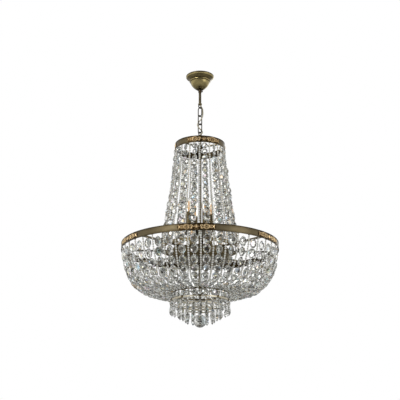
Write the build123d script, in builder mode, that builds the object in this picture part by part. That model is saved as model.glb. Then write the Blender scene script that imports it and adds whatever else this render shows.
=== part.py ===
from build123d import *
import os
from math import cos, pi, radians, sin, tan

# A crystal chandelier that hangs from a ceiling canopy on a short chain. All sizes are in millimetres.
# +Z is up, the origin is the middle of the canopy on the ceiling, and the front is towards -Y.
# Angles round the fixture are counted from the front towards +X.
# Heights named "..._z" are heights in the part's frame, so most of them are negative.

# ---- driving dimensions -------------------------------------------------------------------------

FIT = 0.05  # running clearance on a radius

canopy_radius = 56.0
canopy_depth = 61.0
canopy_wall = 1.2

bracket_span = 80.0
bracket_width = 18.0
bracket_sheet = 2.0
bracket_drop = 14.0
screw_spacing = 66.0
screw_slot_length = 11.0
screw_slot_width = 4.5

rod_radius = 5.25
rod_bore = 3.6
rod_top_z = -5.0
rod_end_z = -121.0
collar_radius = 7.2
collar_height = 12.0

wire_radius = 1.75  # chain wire
link_length = 43.0
link_width = 23.0
loop_radius = 9.5  # outside radius of the two eyes that the chain hangs between
loop_wire_radius = 1.9
loop_centre_z = -132.5
chain_turn = 45.0  # angle of the first link's plane
chain_play = 0.5  # air between two wires that bear on each other

cable_radius = 2.4
cable_swing = 9.5  # how far the cable stands off the chain, left and right

band_top_z = -704.0  # top edge of the main ring
band_height = 27.0
band_sheet = 2.0
main_radius = 300.0
top_radius = 98.0
top_ring_z = band_top_z + 410.0  # top edge of the top ring
inner_ring_radius = 150.5
inner_ring_height = 15.0
ornament_length = 138.0
ornament_height = 23.0
ornament_sheet = 2.5
main_ornaments = 6
top_ornaments = 3
main_ornament_angle = -2.4
top_ornament_angle = 9.0

stem_radius = 6.0
stem_bore = 4.2
arm_width = 14.0
arm_thickness = 4.0
main_arms = 8
main_arm_angle = 2.25  # keeps the arms between the strands that hook on beside them

tray_radius = 118.0
tray_floor_radius = 100.0
tray_depth = 40.0
tray_sheet = 1.5

neck_lamps = 4
neck_lamp_radius = 47.0
neck_lamp_angle = 24.0
neck_sleeve_top_z = band_top_z + 124.5
neck_sleeve_length = 70.0
bowl_lamps = 8
bowl_lamp_radius = 84.0
bowl_lamp_angle = main_arm_angle + 22.5
bowl_sleeve_top_z = band_top_z - 8.0
bowl_sleeve_length = 50.0
sleeve_radius = 11.0
sleeve_sheet = 1.2
cup_radius = 17.0
cup_height = 7.0
holder_radius = 9.3
cap_radius = 6.8  # screw cap of a lamp
cap_length = 22.0
bulb_radius = 15.0
bulb_height = 58.0

neck_strands = 16  # of crystals, and as many of beads between them
neck_crystals = 14  # in one strand
neck_crystal_width = 23.0  # at the top ring
neck_crystal_growth = 6.0  # wider by this at the inner ring
neck_flare = 1.37
bowl_strands = 40  # of crystals, and as many of beads between them
bowl_crystals = 11  # in one strand
bowl_crystal_width = 30.0
bowl_full_rows = 3  # rows that keep the full width
bowl_shrink = 0.88  # each later row against the one above
bowl_hook_length = 14.0
bowl_fullness = 1.587
bowl_roundness = 3.3
crystal_depth_share = 0.4  # depth of a crystal against its width
bead_radius = 3.75
hook_width = 3.0

collar_crystals_count = 30
collar_crystal_width = 18.0
upper_collar_radius = 107.5
upper_collar_z = band_top_z - 187.0
lower_collar_radius = 111.5
lower_collar_z = band_top_z - 217.0
tier_ring_height = 5.0
tier_ring_sheet = 2.0
tier_two_radius = 80.0
tier_two_z = band_top_z - 233.0
tier_three_radius = 54.0
tier_three_z = band_top_z - 249.0
tier_counts = (30, 20, 12)
drop_length = 49.0
drop_width = 15.0
drop_depth = 9.0
drop_neck_length = 12.0

ball_radius = 25.0
ball_centre_z = band_top_z - 293.0
stem_end_z = band_top_z - 257.0

WIRE_SIDES = 6
LAMP_SIDES = 6
ROD_SIDES = 16
STEM_SIDES = 12
CANOPY_SIDES = 36
BAND_SIDES = 72
FINE_STEPS = 600  # samples that a strand's curve is measured with


# ---- helpers ------------------------------------------------------------------------------------


def at(radius, angle, height):
    """A point at a radius and an angle round the fixture."""
    return Vector(radius * sin(radians(angle)), -radius * cos(radians(angle)), height)


def points_along(curve, steps):
    """Points of a curve with its parameter from 0 to 1: its start, then one after each step."""
    fine = [curve(i / FINE_STEPS) for i in range(FINE_STEPS + 1)]
    travelled = [0.0]
    for before, after in zip(fine, fine[1:]):
        travelled.append(travelled[-1] + (after - before).length)
    scale = travelled[-1] / sum(steps)
    points, goal, i = [fine[0]], 0.0, 0
    for step in steps:
        goal = min(goal + step * scale, travelled[-1])
        while travelled[i + 1] < goal - 1e-9 and i < FINE_STEPS - 1:
            i += 1
        share = (goal - travelled[i]) / (travelled[i + 1] - travelled[i])
        points.append(fine[i] + (fine[i + 1] - fine[i]) * share)
    return points


def curve_length(curve):
    """Length of a curve with its parameter from 0 to 1."""
    fine = [curve(i / FINE_STEPS) for i in range(FINE_STEPS + 1)]
    return sum((after - before).length for before, after in zip(fine, fine[1:]))


def crystal(top, bottom, width, depth):
    """A crystal of two four-sided pyramids: tips at top and bottom, its width across the strand."""
    middle = (top + bottom) * 0.5
    across = Vector(1, 0, 0) * (width / 2)
    through = (bottom - top).cross(Vector(1, 0, 0)).normalized() * (depth / 2)
    ConvexPolyhedron(
        [top, bottom, middle + across, middle - across, middle + through, middle - through]
    )


def string_of_beads(curve, runs):
    """A string of small beads as a square bar along a curve at the front."""
    points = points_along(curve, [1] * runs)
    with BuildLine() as route:
        Polyline(*points)
    start = Plane(origin=points[0], x_dir=(1, 0, 0), z_dir=points[1] - points[0])
    with BuildSketch(start) as section:
        RegularPolygon(bead_radius, 4, major_radius=False, rotation=45)
    sweep(section.sketch, path=route.line, transition=Transition.RIGHT)


def wire_ring(centre, plane_angle, half_height, half_width, radius, bend_runs=6):
    """A closed loop of wire in an upright plane: two half rounds joined by straight sides."""
    side = Vector(sin(radians(plane_angle)), -cos(radians(plane_angle)), 0)
    points = []
    for end in (1, -1):
        for i in range(bend_runs + 1):
            a = pi * i / bend_runs
            out, up = cos(a) * end, sin(a) * end
            points.append(
                centre
                + side * (half_width * out)
                + Vector(0, 0, 1) * (half_width * up + (half_height - half_width) * end)
            )
    if half_height == half_width:
        points = points[:bend_runs] + points[bend_runs + 1 : -1]
    start = (points[-1] + points[0]) * 0.5
    with BuildLine() as route:
        Polyline(start, *points, start)
    with BuildSketch(Plane(origin=start, x_dir=side, z_dir=points[0] - start)) as section:
        RegularPolygon(radius, WIRE_SIDES)
    sweep(section.sketch, path=route.line, transition=Transition.RIGHT)


def hoop(radius, sheet, top_z, height, sides):
    """A hoop of upright strip with a flat for each piece that hangs on it."""
    with BuildSketch(Plane.XY.offset(top_z)) as outline:
        RegularPolygon(radius, sides)
        RegularPolygon(radius - sheet, sides, mode=Mode.SUBTRACT)
    extrude(outline.sketch, amount=-height)


def spokes(count, inner, outer, width, top_z, thickness, first_angle=0.0):
    """Flat bars from a hub out to a ring."""
    with BuildSketch(Plane.XY.offset(top_z)) as outline:
        with PolarLocations(0, count, start_angle=first_angle - 90):
            with Locations(((inner + outer) / 2, 0)):
                Rectangle(outer - inner, width)
    extrude(outline.sketch, amount=-thickness)


def frustum(sides, top_radius, top_z, bottom_radius, bottom_z, centre=(0, 0), mode=Mode.ADD):
    """A many-sided solid that narrows from one height to another round an upright line."""
    middle = Vector(centre[0], centre[1], 0)
    turns = [360 / sides * (k + 0.5) for k in range(sides)]
    points = [middle + at(top_radius, a, top_z) for a in turns]
    points += [middle + at(bottom_radius, a, bottom_z) for a in turns]
    ConvexPolyhedron(points, mode=mode)


def hub(radius, top_z, height):
    """A six-sided boss on the stem."""
    with BuildSketch(Plane.XY.offset(top_z)) as outline:
        RegularPolygon(radius, 6)
    extrude(outline.sketch, amount=-height)


def stem_hole(top_z, height):
    """The hole for the stem through what was made so far."""
    with BuildSketch(Plane.XY.offset(top_z)) as outline:
        RegularPolygon(stem_radius, STEM_SIDES)
    extrude(outline.sketch, amount=-height, mode=Mode.SUBTRACT)


def castings(count, first_angle, ring_radius, top_z):
    """Cast ornaments on the outside of a ring, made of flats that bear on it, with pointed ends."""
    half_turn = ornament_length / 2 / ring_radius
    flats = 4
    reach = ring_radius / cos(half_turn / flats)
    turns = [half_turn * (2 * i / flats - 1) for i in range(flats + 1)]
    inner = [Vector(reach * sin(a), -reach * cos(a)) for a in turns]
    far = reach + ornament_sheet
    outer = [Vector(far * sin(a), -far * cos(a)) for a in reversed(turns)]
    middle_z = top_z - band_height / 2
    half_chord = inner[-1].X
    with BuildPart() as casting:
        with BuildSketch(Plane.XY.offset(middle_z - ornament_height / 2)):
            with BuildLine():
                Polyline(*inner, *outer, close=True)
            make_face()
        extrude(amount=ornament_height)
        with BuildSketch(Plane.XZ.offset(ring_radius * 0.5)):
            with BuildLine():
                Polyline(
                    (-half_chord - 3, middle_z),
                    (-half_chord * 0.72, middle_z + ornament_height / 2),
                    (half_chord * 0.72, middle_z + ornament_height / 2),
                    (half_chord + 3, middle_z),
                    (half_chord * 0.72, middle_z - ornament_height / 2),
                    (-half_chord * 0.72, middle_z - ornament_height / 2),
                    close=True,
                )
            make_face()
        extrude(amount=ring_radius, mode=Mode.INTERSECT)
    with BuildPart() as row:
        with PolarLocations(0, count, start_angle=first_angle):
            add(casting.part)
    return row.part


def write(piece, name):
    """Labels a piece and writes its file."""
    piece.label = name
    export_step(piece, f"parts/{name}.step")


os.makedirs("parts", exist_ok=True)


# ---- ceiling fixing -----------------------------------------------------------------------------

with BuildPart() as mounting_bracket:
    with BuildSketch(Plane.XZ.offset(-bracket_width / 2)):
        with BuildLine():
            Polyline(
                (-bracket_span / 2, 0),
                (-22, 0),
                (-22, bracket_sheet - bracket_drop),
                (22, bracket_sheet - bracket_drop),
                (22, 0),
                (bracket_span / 2, 0),
                (bracket_span / 2, -bracket_sheet),
                (24, -bracket_sheet),
                (24, -bracket_drop),
                (-24, -bracket_drop),
                (-24, -bracket_sheet),
                (-bracket_span / 2, -bracket_sheet),
                close=True,
            )
        make_face()
    extrude(amount=bracket_width)
    with BuildSketch(Plane.XY):
        with Locations((screw_spacing / 2, 0), (-screw_spacing / 2, 0)):
            SlotOverall(screw_slot_length, screw_slot_width)
        RegularPolygon(rod_radius + FIT, ROD_SIDES)
    extrude(amount=-bracket_drop, mode=Mode.SUBTRACT)
write(mounting_bracket.part, "mounting_bracket")

nut_height = 4.0
bridge_top_z = bracket_sheet - bracket_drop
with BuildPart() as bracket_lock_nuts:
    for top in (bridge_top_z + nut_height, -bracket_drop):
        with BuildSketch(Plane.XY.offset(top)):
            RegularPolygon(9.0, 6)
            RegularPolygon(rod_radius + FIT, ROD_SIDES, mode=Mode.SUBTRACT)
        extrude(amount=-nut_height)
write(bracket_lock_nuts.part, "bracket_lock_nuts")

with BuildPart() as terminal_block:
    with BuildSketch(Plane.XY.offset(-bracket_drop)):
        with Locations((-17.5, 0)):
            Rectangle(11.0, bracket_width)
    extrude(amount=-10.0)
    with BuildSketch(Plane.XZ.offset(-bracket_width / 2)):
        with Locations((-17.5, -bracket_drop - 5.0)):
            Rectangle(4.0, 4.0)
    extrude(amount=bracket_width, mode=Mode.SUBTRACT)
write(terminal_block.part, "terminal_block")


# ---- canopy, which slides down the rod ----------------------------------------------------------

canopy_outside = (  # heights and radii down the bell
    (0.0, canopy_radius),
    (-7.0, canopy_radius),
    (-11.0, canopy_radius - 5),
    (-22.0, canopy_radius - 14.5),
    (-26.0, canopy_radius - 16.5),
    (-43.0, canopy_radius - 24),
    (-canopy_depth, canopy_radius - 43),
)
canopy_inside = (
    (0.0, canopy_radius - 2.5),
    (-6.0, canopy_radius - 3),
    (-25.0, canopy_radius - 18.5),
    (-42.0, canopy_radius - 26),
    (canopy_wall - canopy_depth, canopy_radius - 44.5),
)
with BuildPart() as ceiling_canopy:
    for (top, wide), (bottom, narrow) in zip(canopy_outside, canopy_outside[1:]):
        frustum(CANOPY_SIDES, wide, top, narrow, bottom)
    for (top, wide), (bottom, narrow) in zip(canopy_inside, canopy_inside[1:]):
        frustum(CANOPY_SIDES, wide, top, narrow, bottom, mode=Mode.SUBTRACT)
    with BuildSketch(Plane.XY.offset(-canopy_depth)):
        RegularPolygon(rod_radius + 0.4, ROD_SIDES)
    extrude(amount=5.0, mode=Mode.SUBTRACT)
write(ceiling_canopy.part, "ceiling_canopy")

collar_top_z = -canopy_depth
with BuildPart() as canopy_collar:
    with BuildSketch(Plane.XY.offset(collar_top_z)):
        RegularPolygon(collar_radius, 12)
    extrude(amount=-collar_height)
    chamfer(canopy_collar.faces().sort_by(Axis.Z)[0].edges(), length=1.5)
    with BuildSketch(Plane.XY.offset(collar_top_z)):
        RegularPolygon(rod_radius + FIT, ROD_SIDES)
    extrude(amount=-collar_height, mode=Mode.SUBTRACT)
    with BuildSketch(Plane.YZ.offset(rod_radius)):
        with Locations((0, collar_top_z - collar_height / 2)):
            RegularPolygon(1.6, 6)
    extrude(amount=collar_radius, mode=Mode.SUBTRACT)
write(canopy_collar.part, "canopy_collar")

with BuildPart() as collar_set_screw:
    with BuildSketch(Plane.YZ.offset(rod_radius + FIT)):
        with Locations((0, collar_top_z - collar_height / 2)):
            RegularPolygon(1.5, 6)
    extrude(amount=3.2)
    with BuildSketch(Plane.YZ.offset(rod_radius + FIT + 3.2)):
        with Locations((0, collar_top_z - collar_height / 2)):
            RegularPolygon(3.0, 8)
    extrude(amount=3.0)
write(collar_set_screw.part, "collar_set_screw")


# ---- rod and chain ------------------------------------------------------------------------------

with BuildPart() as down_rod:
    with BuildSketch(Plane.XY.offset(rod_end_z)):
        RegularPolygon(rod_radius, ROD_SIDES)
        RegularPolygon(rod_bore, ROD_SIDES, mode=Mode.SUBTRACT)
    extrude(amount=rod_top_z - rod_end_z)
write(down_rod.part, "down_rod")

eye_radius = loop_radius - loop_wire_radius
boss_height = 5.5
cable_hole = 3.6
with BuildPart() as rod_loop:
    wire_ring(Vector(0, 0, loop_centre_z), -chain_turn, eye_radius, eye_radius, loop_wire_radius)
    with BuildSketch(Plane.XY.offset(rod_end_z)):
        RegularPolygon(7.0, 6)
    extrude(amount=-boss_height)
    with BuildSketch(Plane.XY.offset(rod_end_z)):
        RegularPolygon(cable_hole, 6)
    extrude(amount=-boss_height - 3, mode=Mode.SUBTRACT)
write(rod_loop.part, "rod_loop")

# Each wire rests on the one above it, with a little air between them.
bearing_step = 2 * wire_radius + chain_play
link_half = link_length / 2 - wire_radius
link_pitch = 2 * link_half - bearing_step
eye_bar_z = loop_centre_z - eye_radius
first_link_top_z = eye_bar_z + loop_wire_radius + wire_radius + chain_play
link_centres_z = [first_link_top_z - link_half - i * link_pitch for i in range(3)]
for i, centre_z in enumerate(link_centres_z):
    with BuildPart() as chain_link:
        turn = chain_turn if i % 2 == 0 else -chain_turn
        half_width = link_width / 2 - wire_radius
        wire_ring(Vector(0, 0, centre_z), turn, link_half, half_width, wire_radius)
    write(chain_link.part, f"chain_link_{i + 1}")

chain_end_z = link_centres_z[-1] - link_half
top_eye_bar_z = chain_end_z + wire_radius + loop_wire_radius + chain_play
top_loop_z = top_eye_bar_z - eye_radius
stem_top_z = top_loop_z - (rod_end_z - loop_centre_z)
with BuildPart() as top_loop:
    wire_ring(Vector(0, 0, top_loop_z), -chain_turn, eye_radius, eye_radius, loop_wire_radius)
    with BuildSketch(Plane.XY.offset(stem_top_z)):
        RegularPolygon(7.0, 6)
    extrude(amount=boss_height)
    with BuildSketch(Plane.XY.offset(stem_top_z)):
        RegularPolygon(cable_hole, 6)
    extrude(amount=boss_height + 3, mode=Mode.SUBTRACT)
write(top_loop.part, "top_loop")

# The cable leaves the rod through its loop, weaves through the links, and enters the stem's loop.
bearing_z = [eye_bar_z] + [z - link_half for z in link_centres_z]
side_run = 7.0  # how far above and below a bearing the cable runs beside it
bulge = 2.5  # the cable stands off further beside the first link
cable_route = [
    (0, 0, rod_top_z - 4),
    (0, 0, rod_end_z - boss_height - 2.5),
    (cable_swing, -1.5, bearing_z[0] + 1.5),
    (cable_swing + bulge, 0, bearing_z[0] - 18),
    (cable_swing, 0, bearing_z[1] - side_run),
    (-cable_swing, 0, bearing_z[2] + side_run),
    (-cable_swing, 0, bearing_z[2] - side_run),
    (cable_swing, 0, bearing_z[3] + side_run),
    (cable_swing, -1.5, bearing_z[3] - 1.5),
    (0, 0, stem_top_z + boss_height + 2.5),
    (0, 0, stem_top_z - 44),
]
cable_cuts = (3, 4, 6)  # the cable is cut half way along the runs after these corners


def corner_radii(points):
    """The largest arc that each corner's two runs allow."""
    radii = []
    for before, corner, after in zip(points, points[1:], points[2:]):
        run_in, run_out = Vector(*corner) - Vector(*before), Vector(*after) - Vector(*corner)
        turn = radians(run_in.get_angle(run_out))
        radii.append(0.45 * min(run_in.length, run_out.length) / tan(turn / 2))
    return radii


cut_points = [
    tuple((Vector(*cable_route[i]) + Vector(*cable_route[i + 1])) * 0.5) for i in cable_cuts
]
stations = [0, *[i + 1 for i in cable_cuts], len(cable_route)]
for i, (first, last) in enumerate(zip(stations, stations[1:])):
    points = cut_points[i - 1 : i] if i else []
    points = points + cable_route[first:last] + cut_points[i : i + 1]
    heading = Vector(*points[1]) - Vector(*points[0])
    radii = corner_radii(points)
    print(f"supply_cable_{i + 1} arcs", [round(r, 1) for r in radii])
    with BuildPart() as supply_cable:
        with BuildLine() as route:
            FilletPolyline(*points, radius=radii)
        with BuildSketch(Plane(origin=points[0], x_dir=(0, 1, 0), z_dir=heading)):
            RegularPolygon(cable_radius, WIRE_SIDES)
        sweep(path=route.line)
    write(supply_cable.part, f"supply_cable_{i + 1}")


# ---- stem and frame -----------------------------------------------------------------------------

with BuildPart() as central_stem:
    with BuildSketch(Plane.XY.offset(stem_end_z)):
        RegularPolygon(stem_radius, STEM_SIDES)
        RegularPolygon(stem_bore, 6, mode=Mode.SUBTRACT)
    extrude(amount=stem_top_z - stem_end_z)
write(central_stem.part, "central_stem")

top_arm_z = top_ring_z - 10.0
with BuildPart() as top_spider:
    hub(12.0, top_arm_z + 4, 12.0)
    spokes(3, 0, top_radius - band_sheet - 0.8, 12.0, top_arm_z, 3.0, top_ornament_angle + 60)
    stem_hole(top_arm_z + 4, 12.0)
write(top_spider.part, "top_spider")

for name, radius, top_z, sides in (
    ("top_ring", top_radius, top_ring_z, 45),
    ("main_ring", main_radius, band_top_z, BAND_SIDES),
):
    with BuildPart() as band:
        hoop(radius, band_sheet, top_z, band_height, sides)
    write(band.part, name)

write(castings(top_ornaments, top_ornament_angle, top_radius, top_ring_z), "top_ring_ornaments")
write(castings(main_ornaments, main_ornament_angle, main_radius, band_top_z), "main_ring_ornaments")

arm_top_z = band_top_z - band_height + arm_thickness
with BuildPart() as main_spider:
    hub(24.0, arm_top_z + 4, 8.0)
    spokes(
        main_arms,
        0,
        main_radius - band_sheet - 0.4,
        arm_width,
        arm_top_z,
        arm_thickness,
        main_arm_angle,
    )
    stem_hole(arm_top_z + 4, 8.0)
write(main_spider.part, "main_spider")

with BuildPart() as inner_ring:
    hoop(inner_ring_radius, band_sheet, arm_top_z + inner_ring_height, inner_ring_height, 30)
write(inner_ring.part, "inner_ring")

tray_top_z = arm_top_z - arm_thickness
tray_floor_z = tray_top_z - tray_depth
tray_sides = 24
tray_taper_z = tray_floor_z + 16.0
with BuildPart() as hub_tray:
    frustum(tray_sides, tray_radius, tray_top_z, tray_radius - 4, tray_taper_z)
    frustum(tray_sides, tray_radius - 4, tray_taper_z, tray_floor_radius, tray_floor_z)
    inside, wall = Mode.SUBTRACT, tray_sheet
    frustum(tray_sides, tray_radius - wall, tray_top_z, tray_radius - 4 - wall, tray_taper_z, mode=inside)
    floor_radius, floor_z = tray_floor_radius - wall, tray_floor_z + wall
    frustum(tray_sides, tray_radius - 4 - wall, tray_taper_z, floor_radius, floor_z, mode=inside)
    stem_hole(tray_top_z, tray_depth)
write(hub_tray.part, "hub_tray")

lamp_plate_z = neck_sleeve_top_z - neck_sleeve_length - cup_height
with BuildPart() as neck_lamp_plate:
    with BuildSketch(Plane.XY.offset(lamp_plate_z)):
        RegularPolygon(neck_lamp_radius + 14, 12)
    extrude(amount=-3.0)
    hub(12.0, lamp_plate_z - 3, 10.0)
    stem_hole(lamp_plate_z, 13.0)
write(neck_lamp_plate.part, "neck_lamp_plate")


# ---- lamps --------------------------------------------------------------------------------------

bowl_places = [
    at(bowl_lamp_radius, bowl_lamp_angle + 360 / bowl_lamps * i, bowl_sleeve_top_z)
    for i in range(bowl_lamps)
]
neck_places = [
    at(neck_lamp_radius, neck_lamp_angle + 360 / neck_lamps * i, neck_sleeve_top_z)
    for i in range(neck_lamps)
]
lamp_places = [(place, bowl_sleeve_length) for place in bowl_places]
lamp_places += [(place, neck_sleeve_length) for place in neck_places]

with BuildPart() as drip_cups:
    for place, sleeve_length in lamp_places:
        cup_top_z = place.Z - sleeve_length
        base_radius = cup_radius * 0.55
        frustum(8, cup_radius, cup_top_z, base_radius, cup_top_z - cup_height, (place.X, place.Y))
write(drip_cups.part, "drip_cups")


def sleeves(places, length):
    """Candle sleeves with their tops at the given places."""
    for place in places:
        with BuildSketch(Plane(origin=place)) as outline:
            RegularPolygon(sleeve_radius, LAMP_SIDES)
            RegularPolygon(sleeve_radius - sleeve_sheet, LAMP_SIDES, mode=Mode.SUBTRACT)
        extrude(outline.sketch, amount=-length)


with BuildPart() as bowl_candle_sleeves:
    sleeves(bowl_places, bowl_sleeve_length)
write(bowl_candle_sleeves.part, "bowl_candle_sleeves")

with BuildPart() as neck_candle_sleeves:
    sleeves(neck_places, neck_sleeve_length)
write(neck_candle_sleeves.part, "neck_candle_sleeves")

holder_height = cap_length + 6.0
with BuildPart() as lampholders:
    for place, _ in lamp_places:
        with BuildSketch(Plane(origin=place - Vector(0, 0, 1))):
            RegularPolygon(holder_radius, LAMP_SIDES)
            RegularPolygon(cap_radius + 0.5, LAMP_SIDES, mode=Mode.SUBTRACT)
        extrude(amount=-holder_height)
write(lampholders.part, "lampholders")

bulb_outline = ((0.0, 0.5), (0.3, 1.0), (0.62, 0.78))  # height and radius as shares of the bulb's
for i, (place, _) in enumerate(lamp_places):
    glass = [place + Vector(0, 0, bulb_height)]
    for up, out in bulb_outline:
        for k in range(LAMP_SIDES):
            spread = at(bulb_radius * out, 360 / LAMP_SIDES * k, bulb_height * up)
            glass.append(place + spread)
    with BuildPart() as bulb:
        ConvexPolyhedron(glass)
        with BuildSketch(Plane(origin=place)):
            RegularPolygon(cap_radius, LAMP_SIDES)
        extrude(amount=-cap_length)
    write(bulb.part, f"bulb_{i + 1}")


# ---- strands of crystals and beads --------------------------------------------------------------

neck_start = (top_radius - band_sheet / 2, top_ring_z - band_height)
neck_end = (inner_ring_radius - 1.5, arm_top_z + inner_ring_height)


def neck_curve(t):
    """A neck strand at the front: it flares like a slack string from the top ring down."""
    radius = neck_start[0] + (neck_end[0] - neck_start[0]) * t**neck_flare
    return Vector(0, -radius, neck_start[1] + (neck_end[1] - neck_start[1]) * t)


def bowl_curve(end_radius, end_z):
    """A bowl strand at the front: it drops from the band and swings in to the collar ring."""
    start_radius, start_z = main_radius - band_sheet - bead_radius - 0.6, band_top_z - 21.0

    def curve(t):
        inward = (1 - t**bowl_fullness) ** (1 / bowl_roundness)
        radius = end_radius + (start_radius - end_radius) * inward
        return Vector(0, -radius, start_z + (end_z - start_z) * t)

    return curve


neck_widths = [
    neck_crystal_width + neck_crystal_growth * i / (neck_crystals - 1) for i in range(neck_crystals)
]
with BuildPart() as neck_chain:
    ends = points_along(neck_curve, neck_widths)
    for top, bottom, width in zip(ends, ends[1:], neck_widths):
        crystal(top, bottom, width, width * crystal_depth_share)
with BuildPart() as neck_crystal_strands:
    with PolarLocations(0, neck_strands, start_angle=180 / neck_strands):
        add(neck_chain.part)
write(neck_crystal_strands.part, "neck_crystal_strands")

with BuildPart() as neck_bead_string:
    string_of_beads(lambda t: neck_curve(0.003 + t * 0.995), 3)
with BuildPart() as neck_bead_strands:
    with PolarLocations(0, neck_strands):
        add(neck_bead_string.part)
write(neck_bead_strands.part, "neck_bead_strands")

crystal_curve = bowl_curve(upper_collar_radius, upper_collar_z - 4.0)
bead_curve = bowl_curve(upper_collar_radius + 0.4, upper_collar_z + 3.0)
band_hook = at(main_radius - band_sheet - 0.3, 0, band_top_z - 18.0)
bowl_widths = [
    bowl_crystal_width * bowl_shrink ** max(0, i + 1 - bowl_full_rows) for i in range(bowl_crystals)
]
strung_share = (curve_length(crystal_curve) - bowl_hook_length) / sum(bowl_widths)
with BuildPart() as bowl_chain:
    steps = [bowl_hook_length] + [w * strung_share for w in bowl_widths]
    ends = points_along(crystal_curve, steps)
    ends[0] = band_hook
    for top, bottom, width in zip(ends, ends[1:], [hook_width] + bowl_widths):
        depth = hook_width if width == hook_width else width * crystal_depth_share
        crystal(top, bottom, width, depth)
with BuildPart() as bowl_crystal_strands:
    with PolarLocations(0, bowl_strands, start_angle=180 / bowl_strands):
        add(bowl_chain.part)
write(bowl_crystal_strands.part, "bowl_crystal_strands")

with BuildPart() as bowl_bead_string:
    string_of_beads(bead_curve, 5)
with BuildPart() as bowl_bead_strands:
    with PolarLocations(0, bowl_strands):
        add(bowl_bead_string.part)
write(bowl_bead_strands.part, "bowl_bead_strands")


# ---- collar and tiers of drops ------------------------------------------------------------------

collar_rings = (
    ("upper_collar_ring", upper_collar_radius, upper_collar_z, tier_counts[0]),
    ("lower_collar_ring", lower_collar_radius, lower_collar_z, tier_counts[0]),
    ("tier_two_ring", tier_two_radius, tier_two_z, tier_counts[1]),
    ("tier_three_ring", tier_three_radius, tier_three_z, tier_counts[2]),
)
for name, radius, top_z, sides in collar_rings:
    with BuildPart() as tier_ring:
        hoop(radius, tier_ring_sheet, top_z, tier_ring_height, sides)
        if name != "lower_collar_ring":
            spokes(4, 0, radius - tier_ring_sheet, 8.0, top_z, 2.5, 45 + 180 / sides)
            hub(9.5, top_z + 4, 12.0)
            stem_hole(top_z + 4, 12.0)
    write(tier_ring.part, name)

hook_in = tier_ring_sheet / 2
with BuildPart() as collar_crystals:
    top = at(upper_collar_radius - hook_in, 0, upper_collar_z - tier_ring_height)
    bottom = at(lower_collar_radius - hook_in, 0, lower_collar_z)
    with BuildPart(mode=Mode.PRIVATE) as collar_crystal:
        crystal(top, bottom, collar_crystal_width, collar_crystal_width * crystal_depth_share)
    with PolarLocations(0, collar_crystals_count):
        add(collar_crystal.part)
write(collar_crystals.part, "collar_crystals")


def drop(top):
    """A pointed drop on a slim neck, widest two thirds of the way down."""
    shoulder_z = top.Z - drop_neck_length
    waist_z = shoulder_z - (drop_length - drop_neck_length) * 0.6
    points = [top, Vector(0, top.Y, top.Z - drop_length)]
    for side in (-1, 1):
        points.append(Vector(side * drop_width / 2, top.Y, waist_z))
        points.append(Vector(0, top.Y + side * drop_depth / 2, waist_z))
        points.append(Vector(side * drop_width / 3.3, top.Y, shoulder_z))
    ConvexPolyhedron(points)


tiers = (
    ("tier_one_drops", lower_collar_radius, lower_collar_z, tier_counts[0]),
    ("tier_two_drops", tier_two_radius, tier_two_z, tier_counts[1]),
    ("tier_three_drops", tier_three_radius, tier_three_z, tier_counts[2]),
)
for name, radius, ring_z, count in tiers:
    with BuildPart() as one_drop:
        drop(at(radius - hook_in, 0, ring_z - tier_ring_height))
    with BuildPart() as drops:
        with PolarLocations(0, count):
            add(one_drop.part)
    write(drops.part, name)


# ---- ball at the bottom -------------------------------------------------------------------------

finial_height = 5.0
with BuildPart() as bottom_finial:
    frustum(8, 9.0, stem_end_z, 4.0, stem_end_z - finial_height)
    with BuildSketch(Plane.YZ):
        with Locations((0, stem_end_z - finial_height - 1.5)):
            Rectangle(5.0, 5.0)
            RegularPolygon(1.35, 8, mode=Mode.SUBTRACT)
    extrude(amount=1.0, both=True)
write(bottom_finial.part, "bottom_finial")

hinge_z = stem_end_z - finial_height - 1.5
ball_top_z = ball_centre_z + ball_radius
pin_wire = 1.6
pin_top_z = hinge_z + pin_wire / 2
pin_end_z = ball_top_z - 1.0
with BuildPart() as ball_pin:
    with BuildSketch(Plane.XZ.offset(-pin_wire / 2)):
        with Locations((0, (pin_top_z + pin_end_z) / 2)):
            Rectangle(7.0, pin_top_z - pin_end_z)
            Rectangle(3.8, pin_top_z - pin_end_z - 2 * pin_wire, mode=Mode.SUBTRACT)
    extrude(amount=pin_wire)
write(ball_pin.part, "ball_pin")

ball_rows = ((0.80, 0.60), (0.30, 0.954), (-0.30, 0.954), (-0.80, 0.60))  # height, radius shares
with BuildPart() as crystal_ball:
    points = []
    for up, out in ball_rows:
        for k in range(8):
            points.append(at(ball_radius * out, 45 * k, ball_centre_z + ball_radius * up))
    points.append(Vector(0, 0, ball_top_z - 1.2))
    points.append(Vector(0, 0, ball_centre_z - ball_radius))
    ConvexPolyhedron(points)
write(crystal_ball.part, "crystal_ball")
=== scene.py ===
"""Looks of a crystal chandelier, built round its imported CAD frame.

Lengths in the classes are millimetres in the part's frame: the origin is on the ceiling, +Z is up and
the front is towards -Y. Angles round the fixture count in degrees from the front towards +X.
"""

import logging
import math
from dataclasses import dataclass
from enum import Enum
from functools import reduce

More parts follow.
